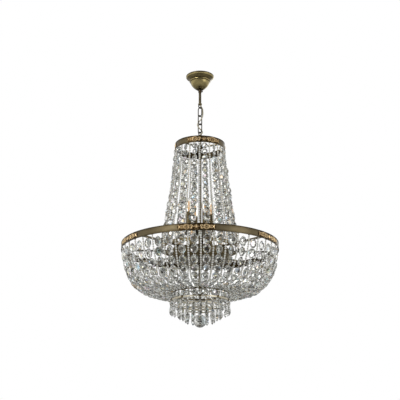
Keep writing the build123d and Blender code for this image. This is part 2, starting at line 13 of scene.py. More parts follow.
import bpy
import numpy as np
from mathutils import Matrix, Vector


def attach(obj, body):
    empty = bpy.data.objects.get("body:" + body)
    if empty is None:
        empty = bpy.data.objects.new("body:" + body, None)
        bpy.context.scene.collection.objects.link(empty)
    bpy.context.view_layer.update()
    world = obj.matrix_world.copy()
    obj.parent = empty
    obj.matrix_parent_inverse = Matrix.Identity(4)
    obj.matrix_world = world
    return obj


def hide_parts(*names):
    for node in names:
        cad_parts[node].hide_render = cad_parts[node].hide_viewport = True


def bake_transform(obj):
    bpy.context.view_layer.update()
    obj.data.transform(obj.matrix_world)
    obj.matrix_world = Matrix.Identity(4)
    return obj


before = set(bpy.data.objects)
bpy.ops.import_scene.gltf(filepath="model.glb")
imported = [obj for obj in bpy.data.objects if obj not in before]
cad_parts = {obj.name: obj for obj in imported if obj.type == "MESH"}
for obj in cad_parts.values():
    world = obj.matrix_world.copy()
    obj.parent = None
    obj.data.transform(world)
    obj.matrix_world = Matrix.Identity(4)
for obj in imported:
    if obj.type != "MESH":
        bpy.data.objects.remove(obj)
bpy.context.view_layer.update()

LOG = logging.getLogger("chandelier")
MM = 0.001
Array = np.ndarray
BAND_TOP = -704.0
BAND_HEIGHT = 27.0
TOP_BAND_TOP = BAND_TOP + 410.0


# ---- shader maths ---------------------------------------------------------------------------------


class Value:
    """A shader socket that Python's operators can be used on."""

    def __init__(self, tree: "Tree", socket: bpy.types.NodeSocket) -> None:
        """Wraps an output socket of a tree."""
        self.tree = tree
        self.socket = socket

    def _math(self, operation: str, *values: object) -> "Value":
        """A Math node on numbers or values."""
        inputs = {i: v for i, v in enumerate(values)}
        return self.tree.node("ShaderNodeMath", {"operation": operation}, inputs)

    def __add__(self, other: object) -> "Value":
        """Sum."""
        return self._math("ADD", self, other)

    def __radd__(self, other: object) -> "Value":
        """Sum with the number first."""
        return self._math("ADD", other, self)

    def __sub__(self, other: object) -> "Value":
        """Difference."""
        return self._math("SUBTRACT", self, other)

    def __rsub__(self, other: object) -> "Value":
        """Difference with the number first, as in 1 - mask."""
        return self._math("SUBTRACT", other, self)

    def __mul__(self, other: object) -> "Value":
        """Product."""
        return self._math("MULTIPLY", self, other)

    def __rmul__(self, other: object) -> "Value":
        """Product with the number first."""
        return self._math("MULTIPLY", other, self)

    def size(self) -> "Value":
        """The value without its sign."""
        return self._math("ABSOLUTE", self)

    def largest(self, other: object) -> "Value":
        """The larger of two values."""
        return self._math("MAXIMUM", self, other)

    def ramp(self, low: float, high: float) -> "Value":
        """0 below low, 1 above high and a smooth step between.

        Args:
            low: where the step starts.
            high: where the step ends.
        Returns:
            The stepped value.
        """
        inputs = {0: self, 1: low, 2: high}
        return self.tree.node("ShaderNodeMapRange", {"interpolation_type": "SMOOTHSTEP"}, inputs)


class Tree:
    """The node tree of a material or a world, with one method that makes any node."""

    def __init__(self, owner: bpy.types.Material | bpy.types.World) -> None:
        """Empties the owner's tree.

        Args:
            owner: what the tree belongs to.
        """
        owner.use_nodes = True
        self.nodes = owner.node_tree.nodes
        self.links = owner.node_tree.links
        self.nodes.clear()

    def node(self, kind: str, settings: dict | None = None, inputs: dict | None = None,
             output: int | str = 0) -> Value:
        """Makes a node, sets it up and fills its sockets.

        Args:
            kind: the node's type.
            settings: attributes of the node, set first.
            inputs: socket name or number to a number, a colour or a Value.
            output: which output to hand back.
        Returns:
            The chosen output as a Value.
        """
        made = self.nodes.new(kind)
        for key, setting in (settings or {}).items():
            setattr(made, key, setting)
        for key, value in (inputs or {}).items():
            socket = made.inputs[key]
            if isinstance(value, Value):
                self.links.new(value.socket, socket)
            elif isinstance(value, tuple) and len(value) == 3 and socket.type == "RGBA":
                socket.default_value = (*value, 1.0)
            else:
                socket.default_value = value
        return Value(self, made.outputs[output] if len(made.outputs) else None)

    def mix(self, share: Value, first: object, second: object) -> Value:
        """A colour between two colours by a share."""
        inputs = {0: share, 6: first, 7: second}
        return self.node("ShaderNodeMix", {"data_type": "RGBA"}, inputs, output=2)


class Shader(Tree):
    """The node tree of one material."""

    def __init__(self, name: str) -> None:
        """Starts an empty material."""
        self.material = bpy.data.materials.new(name)
        super().__init__(self.material)

    def place(self) -> Value:
        """The point on the piece, in its object coordinates."""
        return self.node("ShaderNodeTexCoord", output="Object")

    def attribute(self, name: str, output: str) -> Value:
        """A value that the mesh carries, on its points or faces."""
        return self.node("ShaderNodeAttribute", {"attribute_name": name}, output=output)

    def noise(self, scale: float, detail: float = 4.0, stretch: tuple | None = None) -> Value:
        """Cloudy noise over the object's own coordinates.

        Args:
            scale: features per metre.
            detail: octaves.
            stretch: scale along X, Y and Z, for brushed or drawn surfaces.
        Returns:
            The noise, about 0.3 to 0.7.
        """
        where = self.place()
        if stretch:
            where = self.node("ShaderNodeMapping", inputs={"Vector": where, "Scale": stretch})
        return self.node("ShaderNodeTexNoise", inputs={"Vector": where, "Scale": scale, "Detail": detail})

    def bump(self, height: Value, strength: float, distance: float) -> Value:
        """A normal that is tilted by a height in metres times distance."""
        inputs = {"Height": height, "Strength": strength, "Distance": distance}
        return self.node("ShaderNodeBump", inputs=inputs)

    def surface(self, **sockets: object) -> bpy.types.Material:
        """Closes the tree with a Principled surface.

        Args:
            sockets: socket names with underscores for spaces.
        Returns:
            The finished material.
        """
        inputs = {key.replace("_", " "): value for key, value in sockets.items()}
        shader = self.node("ShaderNodeBsdfPrincipled", inputs=inputs)
        self.node("ShaderNodeOutputMaterial", inputs={"Surface": shader})
        return self.material


# ---- finishes -------------------------------------------------------------------------------------


@dataclass(frozen=True)
class Finish:
    """A finish that makes its material once and hands it to every piece."""

    name: str
    slot: str

    def material(self) -> bpy.types.Material:
        """The finish's material, made on first use."""
        found = bpy.data.materials.get(self.name)
        return found or self.build()

    def build(self) -> bpy.types.Material:
        """Makes the material."""
        raise NotImplementedError


@dataclass(frozen=True)
class PatinatedBrass(Finish):
    """Brass with a brown patina rubbed lighter and darker in places, and optional painted highlights and
    shade.
    """

    dark: tuple
    light: tuple
    rough: float = 0.3
    scale: float = 20.0
    relief: float = 0.00006
    mottle: float = 0.5
    stretch: tuple = (0.04, 0.04, 1.0)
    # paint highlights and shade from the height attribute along a turned profile
    profile_painted_light: bool = False

    def build(self) -> bpy.types.Material:
        """Patina clouds mix two brass colours, fine pits and scratches move roughness and bump.

        Returns:
            The material.
        """
        tree = Shader(self.name)
        cloud = tree.noise(self.scale, 5.0)
        brush = tree.noise(900.0, 3.0, self.stretch)
        fine = tree.noise(self.scale * 14, 3.0)
        share = (cloud - 0.5) * self.mottle + (brush - 0.5) * 0.5 + (fine - 0.5) * 0.2 + 0.5
        if self.profile_painted_light:
            # painted light: the height attribute brightens the brass as painted highlights and darkens it
            # as painted shade
            wear_and_painted_light = tree.attribute("height", "Fac")
            share = share - 0.5 + wear_and_painted_light
        share = share.ramp(0.0, 1.0)
        colour = tree.mix(share, self.dark, self.light)
        rough = share * -0.10 + (self.rough + 0.05) + (fine - 0.5) * 0.12
        bump = tree.bump(fine * 0.5 + brush, 0.3, self.relief)
        return tree.surface(Base_Color=colour, Metallic=1.0, Roughness=rough, Normal=bump)


@dataclass(frozen=True)
class GiltRelief(Finish):
    """Copper gilt on a casting: bright on its high places and dark in its corners."""

    dark: tuple
    light: tuple

    def build(self) -> bpy.types.Material:
        """The height attribute of the casting lifts the gilt out of the dark ground.

        Returns:
            The material.
        """
        tree = Shader(self.name)
        high = tree.attribute("height", "Fac")
        fine = tree.noise(900.0, 3.0)
        wear_and_painted_light = tree.noise(120.0, 4.0)
        share = (high + (wear_and_painted_light - 0.5) * 0.7 + (fine - 0.5) * 0.3).ramp(0.12, 0.72)
        colour = tree.mix(share, self.dark, self.light)
        rough = 0.46 - share * 0.18
        bump = tree.bump(fine, 0.3, 0.0001)
        return tree.surface(Base_Color=colour, Metallic=1.0, Roughness=rough, Normal=bump)


@dataclass(frozen=True)
class DrawnMetal(Finish):
    """Metal with fine lines along the way it was drawn, brushed or turned."""

    dark: tuple
    light: tuple
    stretch: tuple = (1.0, 1.0, 0.04)
    rough: float = 0.28

    def build(self) -> bpy.types.Material:
        """Noise stretched along the grain moves colour, roughness and bump.

        Returns:
            The material.
        """
        tree = Shader(self.name)
        grain = tree.noise(1800.0, 3.0, self.stretch)
        cloud = tree.noise(60.0, 4.0)
        colour = tree.mix((grain * 0.6 + cloud * 0.4).ramp(0.3, 0.7), self.dark, self.light)
        rough = (grain - 0.5) * 0.2 + (cloud - 0.5) * 0.15 + self.rough
        return tree.surface(Base_Color=colour, Metallic=1.0, Roughness=rough,
                            Normal=tree.bump(grain, 0.25, 0.00005))


@dataclass(frozen=True)
class CutGlass(Finish):
    """Clear cut crystal with light, grey and dark painted reflections on its facets, and a coloured painted
    glint on a few.
    """

    ior: float = 1.56
    milk: float = 0.0

    def build(self) -> bpy.types.Material:
        """The facet attribute colours each flat with its painted reflection, and faint ripples break up the
        reflections.

        Returns:
            The material.
        """
        tree = Shader(self.name)
        ripple = tree.noise(260.0, 2.0)
        rough = (ripple - 0.5) * 0.03 + 0.03
        return tree.surface(Base_Color=self.tint_and_painted_reflection(tree), Transmission_Weight=1.0 - self.milk, IOR=self.ior,
                            Roughness=rough, Normal=tree.bump(ripple, 0.06, 0.0006))

    def tint_and_painted_reflection(self, tree: Shader) -> Value:
        """Each facet's painted reflection, as its colour."""
        return tree.attribute("facet", "Color")


@dataclass(frozen=True)
class BlownGlass(CutGlass):
    """Clear blown glass of a lamp, with faint clouds instead of facets."""

    def tint_and_painted_reflection(self, tree: Shader) -> Value:
        """A nearly white cloud."""
        return tree.mix(tree.noise(40.0), (0.93, 0.92, 0.88), (1.0, 0.99, 0.97))


@dataclass(frozen=True)
class Moulded(Finish):
    """Moulded or extruded plastic, or frosted glass, with a faint mottle."""

    dark: tuple
    light: tuple
    rough: float = 0.45
    scale: float = 90.0
    glow: float = 0.0

    def build(self) -> bpy.types.Material:
        """A soft mottle in the colour, with fine texture in roughness and bump.

        Returns:
            The material.
        """
        tree = Shader(self.name)
        cloud = tree.noise(self.scale, 5.0)
        fine = tree.noise(2400.0, 2.0)
        colour = tree.mix(cloud.ramp(0.35, 0.65), self.dark, self.light)
        rough = (fine - 0.5) * 0.18 + self.rough
        return tree.surface(Base_Color=colour, Roughness=rough, Normal=tree.bump(fine, 0.2, 0.00004),
                            Emission_Color=colour, Emission_Strength=self.glow,
                            Subsurface_Weight=0.15, Subsurface_Radius=(0.004, 0.003, 0.002))


class Finishes:
    """Every finish of the chandelier, by a maker's name for it."""

    BRASS = PatinatedBrass("aged_brass", "antique_brass", (0.050, 0.038, 0.018), (0.190, 0.150, 0.082))
    # The band and the canopy brass add painted highlights and painted shade along their profiles.
    BAND = PatinatedBrass("band_brass", "antique_brass", (0.030, 0.021, 0.010), (0.175, 0.140, 0.080),
                          0.38, 14.0, profile_painted_light=True)
    SPUN = PatinatedBrass("canopy_brass", "antique_brass", (0.026, 0.019, 0.008), (0.41, 0.335, 0.150),
                          0.24, 9.0, mottle=0.25, profile_painted_light=True)
    SLEEVE = PatinatedBrass("sleeve_brass", "candle_sleeve", (0.045, 0.035, 0.017), (0.20, 0.16, 0.088),
                            0.3, 30.0)
    GILT = GiltRelief("copper_gilt", "gilt_casting", (0.050, 0.028, 0.010), (0.80, 0.59, 0.32))
    CHAIN = PatinatedBrass("chain_bronze", "bronze_chain", (0.014, 0.011, 0.006), (0.052, 0.043, 0.025),
                           0.42, 60.0)
    BOSS = PatinatedBrass("boss_brass", "bronze_chain", (0.060, 0.048, 0.024), (0.30, 0.25, 0.15),
                          0.3, 60.0)
    SCREW = PatinatedBrass("dark_knurl", "dark_screw", (0.02, 0.014, 0.008), (0.11, 0.08, 0.045),
                           0.34, 90.0)
    ROD = DrawnMetal("drawn_rod", "antique_brass", (0.045, 0.037, 0.020), (0.125, 0.104, 0.062),
                     rough=0.40)
    # Brass of the collar and tier rings, made much lighter than the other brass as a painted highlight.
    RIM = PatinatedBrass("tier_brass", "antique_brass", (0.30, 0.27, 0.19), (0.84, 0.78, 0.62), 0.30, 40.0)
    ZINC = DrawnMetal("zinc_sheet", "zinc_steel", (0.42, 0.42, 0.40), (0.62, 0.62, 0.60),
                      (0.05, 1.0, 1.0), 0.35)
    WIRE = DrawnMetal("pin_wire", "brass_wire", (0.40, 0.28, 0.12), (0.68, 0.50, 0.26),
                      (1.0, 1.0, 0.3), 0.25)
    CRYSTAL = CutGlass("cut_glass", "cut_crystal")
    BEAD = CutGlass("bead_glass", "bead_crystal", 1.5, 0.66)
    BALL = CutGlass("ball_glass", "ball_crystal", 1.56)
    CABLE = Moulded("cable_sheath", "cable_pvc", (0.42, 0.38, 0.25), (0.54, 0.49, 0.36), 0.42, 200.0)
    HOLDER = Moulded("holder_black", "holder_plastic", (0.012, 0.011, 0.010), (0.03, 0.028, 0.026), 0.5)
    TERMINAL = Moulded("terminal_white", "terminal_plastic", (0.62, 0.60, 0.54), (0.74, 0.72, 0.66), 0.5)
    BULB = BlownGlass("bulb_clear", "bulb_glass", 1.47)
    GLOW = Moulded("filament_warm", "bulb_glass", (0.80, 0.52, 0.28), (0.95, 0.70, 0.42), 0.4, 60.0, 0.35)


# ---- mesh maths -----------------------------------------------------------------------------------


@dataclass
class Solid:
    """Vertices in millimetres and faces by number, with optional shares per face or vertex."""

    points: Array
    faces: list
    # facet is a colour for each face, on glass a painted reflection; height is a casting's relief, or
    # painted highlights and shade along a turned profile
    facet: Array | None = None
    height: Array | None = None

    def joined(self, other: "Solid") -> "Solid":
        """This solid and another as one mesh, the other's face numbers moved up.

        Args:
            other: the solid that is added.
        Returns:
            Both as one solid.
        """
        shift = len(self.points)
        moved = [tuple(i + shift for i in f) for f in other.faces]
        facet = None if self.facet is None else np.concatenate([self.facet, other.facet])
        height = None if self.height is None else np.concatenate([self.height, other.height])
        return Solid(np.concatenate([self.points, other.points]), self.faces + moved, facet, height)


def gathered(solids: list) -> "Solid":
    """All the solids of a list as one, in their order."""
    return reduce(Solid.joined, solids)


def polar(radius: Array | float, degrees: Array | float, height: Array | float) -> Array:
    """Points at a radius and an angle round the fixture: x = r sin a, y = -r cos a, z = height.

    Args:
        radius: distance from the fixture's axis.
        degrees: angle from the front towards +X.
        height: z of each point.
    Returns:
        The points, with x, y and z last.
    """
    turn = np.radians(degrees)
    radius, turn, height = np.broadcast_arrays(np.asarray(radius, float), turn, np.asarray(height, float))
    return np.stack([radius * np.sin(turn), -radius * np.cos(turn), height], -1)


def grid_faces(rows: int, columns: int, wrap_rows: bool, wrap_columns: bool) -> list:
    """Quads of a grid of points, row by row, that may close on itself each way.

    Args:
        rows: points down the grid.
        columns: points across it.
        wrap_rows: the last row meets the first.
        wrap_columns: the last column meets the first.
    Returns:
        Face tuples, row by row.
    """
    i = np.arange(rows if wrap_rows else rows - 1)[:, None]
    j = np.arange(columns if wrap_columns else columns - 1)[None, :]
    k, m = (i + 1) % rows, (j + 1) % columns
    corners = (i * columns + j, i * columns + m, k * columns + m, k * columns + j)
    quads = np.stack(np.broadcast_arrays(*corners), -1)
    return [tuple(q) for q in quads.reshape(-1, 4).tolist()]


def turned(profile: list, sides: int = 64, centre: tuple = (0.0, 0.0), closed: bool = True,
           wave: float = 0.0, waves: int = 0) -> Solid:
    """A lathe shape: each profile point (r, z) goes round to x = r sin a, y = -r cos a.

    Args:
        profile: radii and heights along the outline, and where the finish asks for it a painted light
        for each point, from 0 for painted shade to 1 for a painted highlight.
        sides: steps round.
        centre: the upright axis.
        closed: the outline meets its own start, as on a wall with two faces; an open one starts
            and ends on the axis or at a small hole.
        wave: how far the rim ripples in and out, as a share of the radius.
        waves: ripples round.
    Returns:
        The solid.
    """
    line = np.asarray(profile, float)
    turn = np.linspace(0.0, 360.0, sides, endpoint=False)
    ripple = 1.0 + wave * np.cos(np.radians(turn) * waves)[None, :]
    points = polar(line[:, 0:1] * ripple, turn[None, :], line[:, 1:2])
    points[..., 0] += centre[0]
    points[..., 1] += centre[1]
    faces = grid_faces(len(line), sides, closed, True)
    if not closed:
        last = (len(line) - 1) * sides
        faces += [tuple(range(sides))[::-1], tuple(range(last, last + sides))]
    # the profile's third value, painted highlights and painted shade, becomes the height attribute
    height = np.repeat(line[:, 2], sides) if line.shape[1] > 2 else None
    return outward(Solid(points.reshape(-1, 3), faces, None, height))


def tube(path: Array, radius: Array | float, sides: int, loop: bool, flatten: float = 1.0) -> Solid:
    """A round section carried along a path with a frame that doesn't twist.

    The tangent is the central difference of the points; the side vector is the normal of the path's
    flattest plane, made square to each tangent; the section is radius (cos b side + sin b up).

    Args:
        path: points along the middle.
        radius: one radius, or one for each point.
        sides: steps round the section.
        loop: the path closes on itself.
        flatten: the section's second half axis against its first.
    Returns:
        The solid, with capped ends when it isn't a loop.
    """
    path = np.asarray(path, float)
    if loop:
        tangent = np.roll(path, -1, 0) - np.roll(path, 1, 0)
    else:
        tangent = np.gradient(path, axis=0)
    tangent /= np.linalg.norm(tangent, axis=1, keepdims=True)
    normal = np.linalg.svd(path - path.mean(0))[2][2] if len(path) > 2 else np.array([0, 0, 1.0])
    side = normal[None, :] - (tangent @ normal)[:, None] * tangent
    side /= np.linalg.norm(side, axis=1, keepdims=True)
    up = np.cross(tangent, side)
    b = np.linspace(0, 2 * math.pi, sides, endpoint=False)
    reach = np.broadcast_to(np.asarray(radius, float), (len(path),))[:, None, None]
    ring = np.cos(b)[None, :, None] * side[:, None, :] + np.sin(b)[None, :, None] * up[:, None, :] * flatten
    points = path[:, None, :] + reach * ring
    faces = grid_faces(len(path), sides, loop, True)
    if not loop:
        last = (len(path) - 1) * sides
        faces += [tuple(range(sides))[::-1], tuple(range(last, last + sides))]
    return outward(Solid(points.reshape(-1, 3), faces))


def outward(solid: Solid) -> Solid:
    """Turns the faces of closed shapes that are all wound alike the right way round.

    The signed volume of the whole is the sum of each face fan's triple products; when it is
    negative, all faces are inside out together and are reversed.

    Args:
        solid: one or more closed shapes that are all wound alike.
    Returns:
        The same solid, with its faces outward.
    """
    volume = 0.0
    for length in {len(f) for f in solid.faces}:
        corner = solid.points[np.array([f for f in solid.faces if len(f) == length])]
        for i in range(1, length - 1):
            volume += np.einsum("ij,ij->i", corner[:, 0], np.cross(corner[:, i], corner[:, i + 1])).sum()
    if volume < 0:
        solid.faces = [tuple(reversed(f)) for f in solid.faces]
    return solid


def copies(template: Solid, matrices: Array) -> Solid:
    """A template placed many times: all points times all matrices in one product.

    Args:
        template: the solid in its own coordinates.
        matrices: one 3 by 4 placing matrix for each copy.
    Returns:
        One solid with every copy.
    """
    count, size = len(matrices), len(template.points)
    homogeneous = np.concatenate([template.points, np.ones((size, 1))], 1)
    points = np.einsum("cij,pj->cpi", matrices, homogeneous).reshape(-1, 3)
    faces = []
    for length in sorted({len(f) for f in template.faces}):
        same = np.array([f for f in template.faces if len(f) == length])
        spread = same[None] + (np.arange(count) * size)[:, None, None]
        faces += [tuple(f) for f in spread.reshape(-1, length).tolist()]
    return Solid(points, faces)


def between(top: Array, bottom: Array, across: Array, width: Array, depth: Array) -> Array:
    """Placing matrices that stretch a unit piece from one point down to another.

    The piece's z axis runs up the line, its x axis lies across the strand and its y axis is square
    to both; they are scaled by the length, the width and the depth.

    Args:
        top: upper points.
        bottom: lower points.
        across: unit vectors across.
        width: sizes along x.
        depth: sizes along y.
    Returns:
        One 3 by 4 matrix for each pair of points.
    """
    up = top - bottom
    through = np.cross(up, across)
    through /= np.linalg.norm(through, axis=-1, keepdims=True)
    columns = [across * width[:, None], through * depth[:, None], up, (top + bottom) / 2]
    return np.stack(columns, -1)


@dataclass(frozen=True)
class Sparkle:
    """How the facets of a cut share out painted reflections: light, grey and dark ones, and coloured
    painted glints.
    """

    # clear, dark and flash are the shares of facets with a light painted reflection, a dark one and a
    # coloured painted glint; grey is the range of the rest.
    clear: float = 0.50
    dark: float = 0.14
    flash: float = 0.075
    grey: tuple = (0.40, 0.80)

    def painted_reflections(self, count: int, seed: int) -> Array:
        """A painted reflection for each facet, as a colour drawn with a fixed seed.

        Args:
            count: facets.
            seed: start of the draws.
        Returns:
            Rows of red, green and blue.
        """
        rng = np.random.default_rng(seed)
        # painted reflections: light, grey with an olive cast, dark, and a few coloured painted glints
        draw = rng.random(count)
        level = rng.uniform(*self.grey, count)
        level = np.where(draw < self.clear, rng.uniform(0.88, 1.0, count), level)
        level = np.where(draw > 1 - self.dark, rng.uniform(0.02, 0.16, count), level)
        tint_and_painted_reflection = level[:, None] * np.where(level[:, None] < 0.85, [0.98, 1.0, 0.90], [1.0, 1.0, 0.99])
        flashes = np.array([[0.42, 0.62, 1.0], [1.0, 0.62, 0.28], [0.95, 0.88, 0.45], [0.9, 0.6, 0.8],
                            [0.42, 0.36, 0.18], [0.55, 0.9, 0.95]])
        pick = rng.random(count) < self.flash
        tint_and_painted_reflection[pick] = flashes[rng.integers(0, len(flashes), pick.sum())]
        return tint_and_painted_reflection


# ---- pieces ---------------------------------------------------------------------------------------


def piece(name: str, solid: Solid, finish: Finish, body: str, nodes: tuple = (),
          smooth: bool = True) -> bpy.types.Object:
    """Makes a mesh object from a solid, dresses it and lets it ride on its body.

    Args:
        name: the piece's name.
        solid: its points in millimetres and its faces.
        finish: what it is made of.
        body: the CAD body that carries it.
        nodes: the CAD nodes that it stands for.
        smooth: shade it smoothly, or show its facets.
    Returns:
        The object, at the origin with its place in its mesh.
    """
    mesh = bpy.data.meshes.new(name)
    mesh.from_pydata(solid.points * MM, [], solid.faces)
    mesh.validate()
    if solid.facet is not None:
        opaque = np.concatenate([solid.facet, np.ones((len(solid.facet), 1))], 1)
        layer = mesh.attributes.new("facet", "FLOAT_COLOR", "FACE")
        layer.data.foreach_set("color", opaque.ravel())
    if solid.height is not None:
        mesh.attributes.new("height", "FLOAT", "POINT").data.foreach_set("value", solid.height)
    if smooth:
        mesh.shade_smooth()
        mesh.set_sharp_from_angle(angle=math.radians(38))
    else:
        mesh.shade_flat()
    mesh.materials.append(finish.material())
    made = bpy.data.objects.new(name, mesh)
    bpy.context.scene.collection.objects.link(made)
    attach(made, body)
    if nodes:
        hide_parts(*nodes)
    LOG.info("%s: %d faces on %s", name, len(mesh.polygons), body)
    return made


def dress(node: str, finish: Finish) -> None:
    """Gives a CAD node that stays in view its finish, in all its material slots.

    Args:
        node: the CAD node's name.
        finish: what it is made of.
    """
    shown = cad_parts[node]
    for place in shown.material_slots:
        place.material = finish.material()
    LOG.info("%s keeps its CAD shape", node)


class Cut(Enum):
    """The cuts of glass on the strands and tiers."""

    OCTAGON = "octagon"
    DROP = "drop"
    BEAD = "bead"


@dataclass
class GlassCuts:
    """Unit templates of the cut pieces, one millimetre in each direction before they are stretched."""

    table: float = 0.40
    middle: float = 0.74
    girdle: float = 0.10

    def octagon(self) -> Solid:
        """Eight-sided crystal: a table, a turned ring of star facets and a crown on each side.

        Rings at table, middle and girdle radius lie at growing distance from the table's plane;
        the middle ring is turned by half a step, so the facets between are triangles.

        Returns:
            The unit crystal, with its table towards -Y and +Y.
        """
        step = np.arange(8) * 45.0 + 22.5
        rings = [(self.table, 0.5, 0.0), (self.middle, 0.36, 22.5), (1.0, self.girdle / 2, 0.0)]
        rings += [(r, -y, t) for r, y, t in reversed(rings)]
        points = []
        for radius, y, twist in rings:
            turn = np.radians(step + twist)
            flat = (radius / 2 * np.cos(turn), np.full(8, y), radius / 2 * np.sin(turn))
            points.append(np.stack(flat, -1))
        points = np.concatenate(points) / np.array([math.cos(math.pi / 8), 1, math.cos(math.pi / 8)])
        faces = [tuple(range(8)), tuple(range(47, 39, -1))]
        for ring in (0, 1, 3, 4):
            for i in range(8):
                a, b = ring * 8 + i, ring * 8 + (i + 1) % 8
                c, d = a + 8, b + 8
                if ring in (0, 3):
                    faces += [(b, a, c), (b, c, d)]
                else:
                    faces += [(b, a, d), (a, c, d)]
        for i in range(8):
            a, b = 16 + i, 16 + (i + 1) % 8
            faces.append((b, a, a + 8, b + 8))
        return Solid(points, faces)

    def drop(self) -> Solid:
        """Pear drop, eight-sided: rings whose radius swells to two thirds of the way down, then a point.

        Each side face names its two lower corners crosswise, so it crosses itself.

        Returns:
            The unit drop, with its tip down.
        """
        rows = [(0.5, 0.16), (0.42, 0.30), (0.24, 0.56), (0.0, 0.86), (-0.16, 1.0), (-0.30, 0.78)]
        turn = np.radians(np.arange(8) * 45.0)
        points = [np.stack([r / 2 * np.cos(turn), r / 2 * np.sin(turn), np.full(8, z)], -1)
                  for z, r in rows]
        points = np.concatenate(points + [np.array([[0.0, 0.0, -0.5]])])
        faces = [(a, b, d, c) for a, b, c, d in grid_faces(len(rows), 8, False, True)]
        faces.append(tuple(range(8)))
        base = (len(rows) - 1) * 8
        faces += [(base + (i + 1) % 8, base + i, len(points) - 1) for i in range(8)]
        return Solid(points, faces)

    def bead(self, sides: int = 8, rows: int = 5) -> Solid:
        """Round bead: a ball with a flat at each hole, x = cos(v) cos(u), y = cos(v) sin(u), z = sin(v).

        Args:
            sides: steps round.
            rows: rings from hole to hole.
        Returns:
            The unit bead, with its hole along z.
        """
        v = np.linspace(1.25, -1.25, rows)[:, None]
        u = np.linspace(0, 2 * math.pi, sides, endpoint=False)[None, :]
        ball = np.broadcast_arrays(np.cos(v) * np.cos(u), np.cos(v) * np.sin(u), np.sin(v))
        points = np.stack(ball, -1) / 2
        faces = grid_faces(rows, sides, False, True)
        faces = [tuple(reversed(f)) for f in faces]
        faces += [tuple(range(sides)), tuple(range((rows - 1) * sides, rows * sides))[::-1]]
        return Solid(points.reshape(-1, 3), faces)

    def template(self, cut: Cut) -> Solid:
        """The template of a named cut."""
        return {Cut.OCTAGON: self.octagon, Cut.DROP: self.drop, Cut.BEAD: self.bead}[cut]()


TIP_FACETS = 8
# Shares of painted reflections for the beads, the drops and the ball.
BEADS = Sparkle(0.42, 0.03, 0.02, (0.68, 0.90))
DROPS = Sparkle(0.42, 0.17, 0.04, (0.36, 0.70))
BALL_FACETS = Sparkle(0.80, 0.04, 0.02, (0.62, 0.88))


def strung(cut: Cut, matrices: Array, seed: int, sparkle: Sparkle = Sparkle()) -> Solid:
    """Copies of a cut at the given places, each facet with its own painted reflection.

    Args:
        cut: which template.
        matrices: where each copy goes.
        seed: start of the painted reflections' random draws.
        sparkle: how the painted reflections are shared out.
    Returns:
        One solid with a painted reflection on each facet.
    """
    solid = outward(copies(GlassCuts().template(cut), matrices))
    # each facet gets a painted reflection as its colour
    solid.facet = sparkle.painted_reflections(len(solid.faces), seed)
    return solid


def spread(points: Array, angles: Array) -> Array:
    """Front-plane points (radius, height) copied round the fixture: shape (angles, points, 3)."""
    return polar(points[None, :, 0], np.asarray(angles)[:, None], points[None, :, 1])


@dataclass
class Curve:
    """A strand's line in the plane of radius and height, sampled finely."""

    line: Array

    def at(self, lengths: Array) -> Array:
        """Points at the given distances along the line, by linear interpolation of its samples."""
        run = np.concatenate([[0], np.cumsum(np.linalg.norm(np.diff(self.line, axis=0), axis=1))])
        return np.stack([np.interp(lengths, run, self.line[:, k]) for k in (0, 1)], -1)

    @property
    def length(self) -> float:
        """The line's length."""
        return float(np.linalg.norm(np.diff(self.line, axis=0), axis=1).sum())


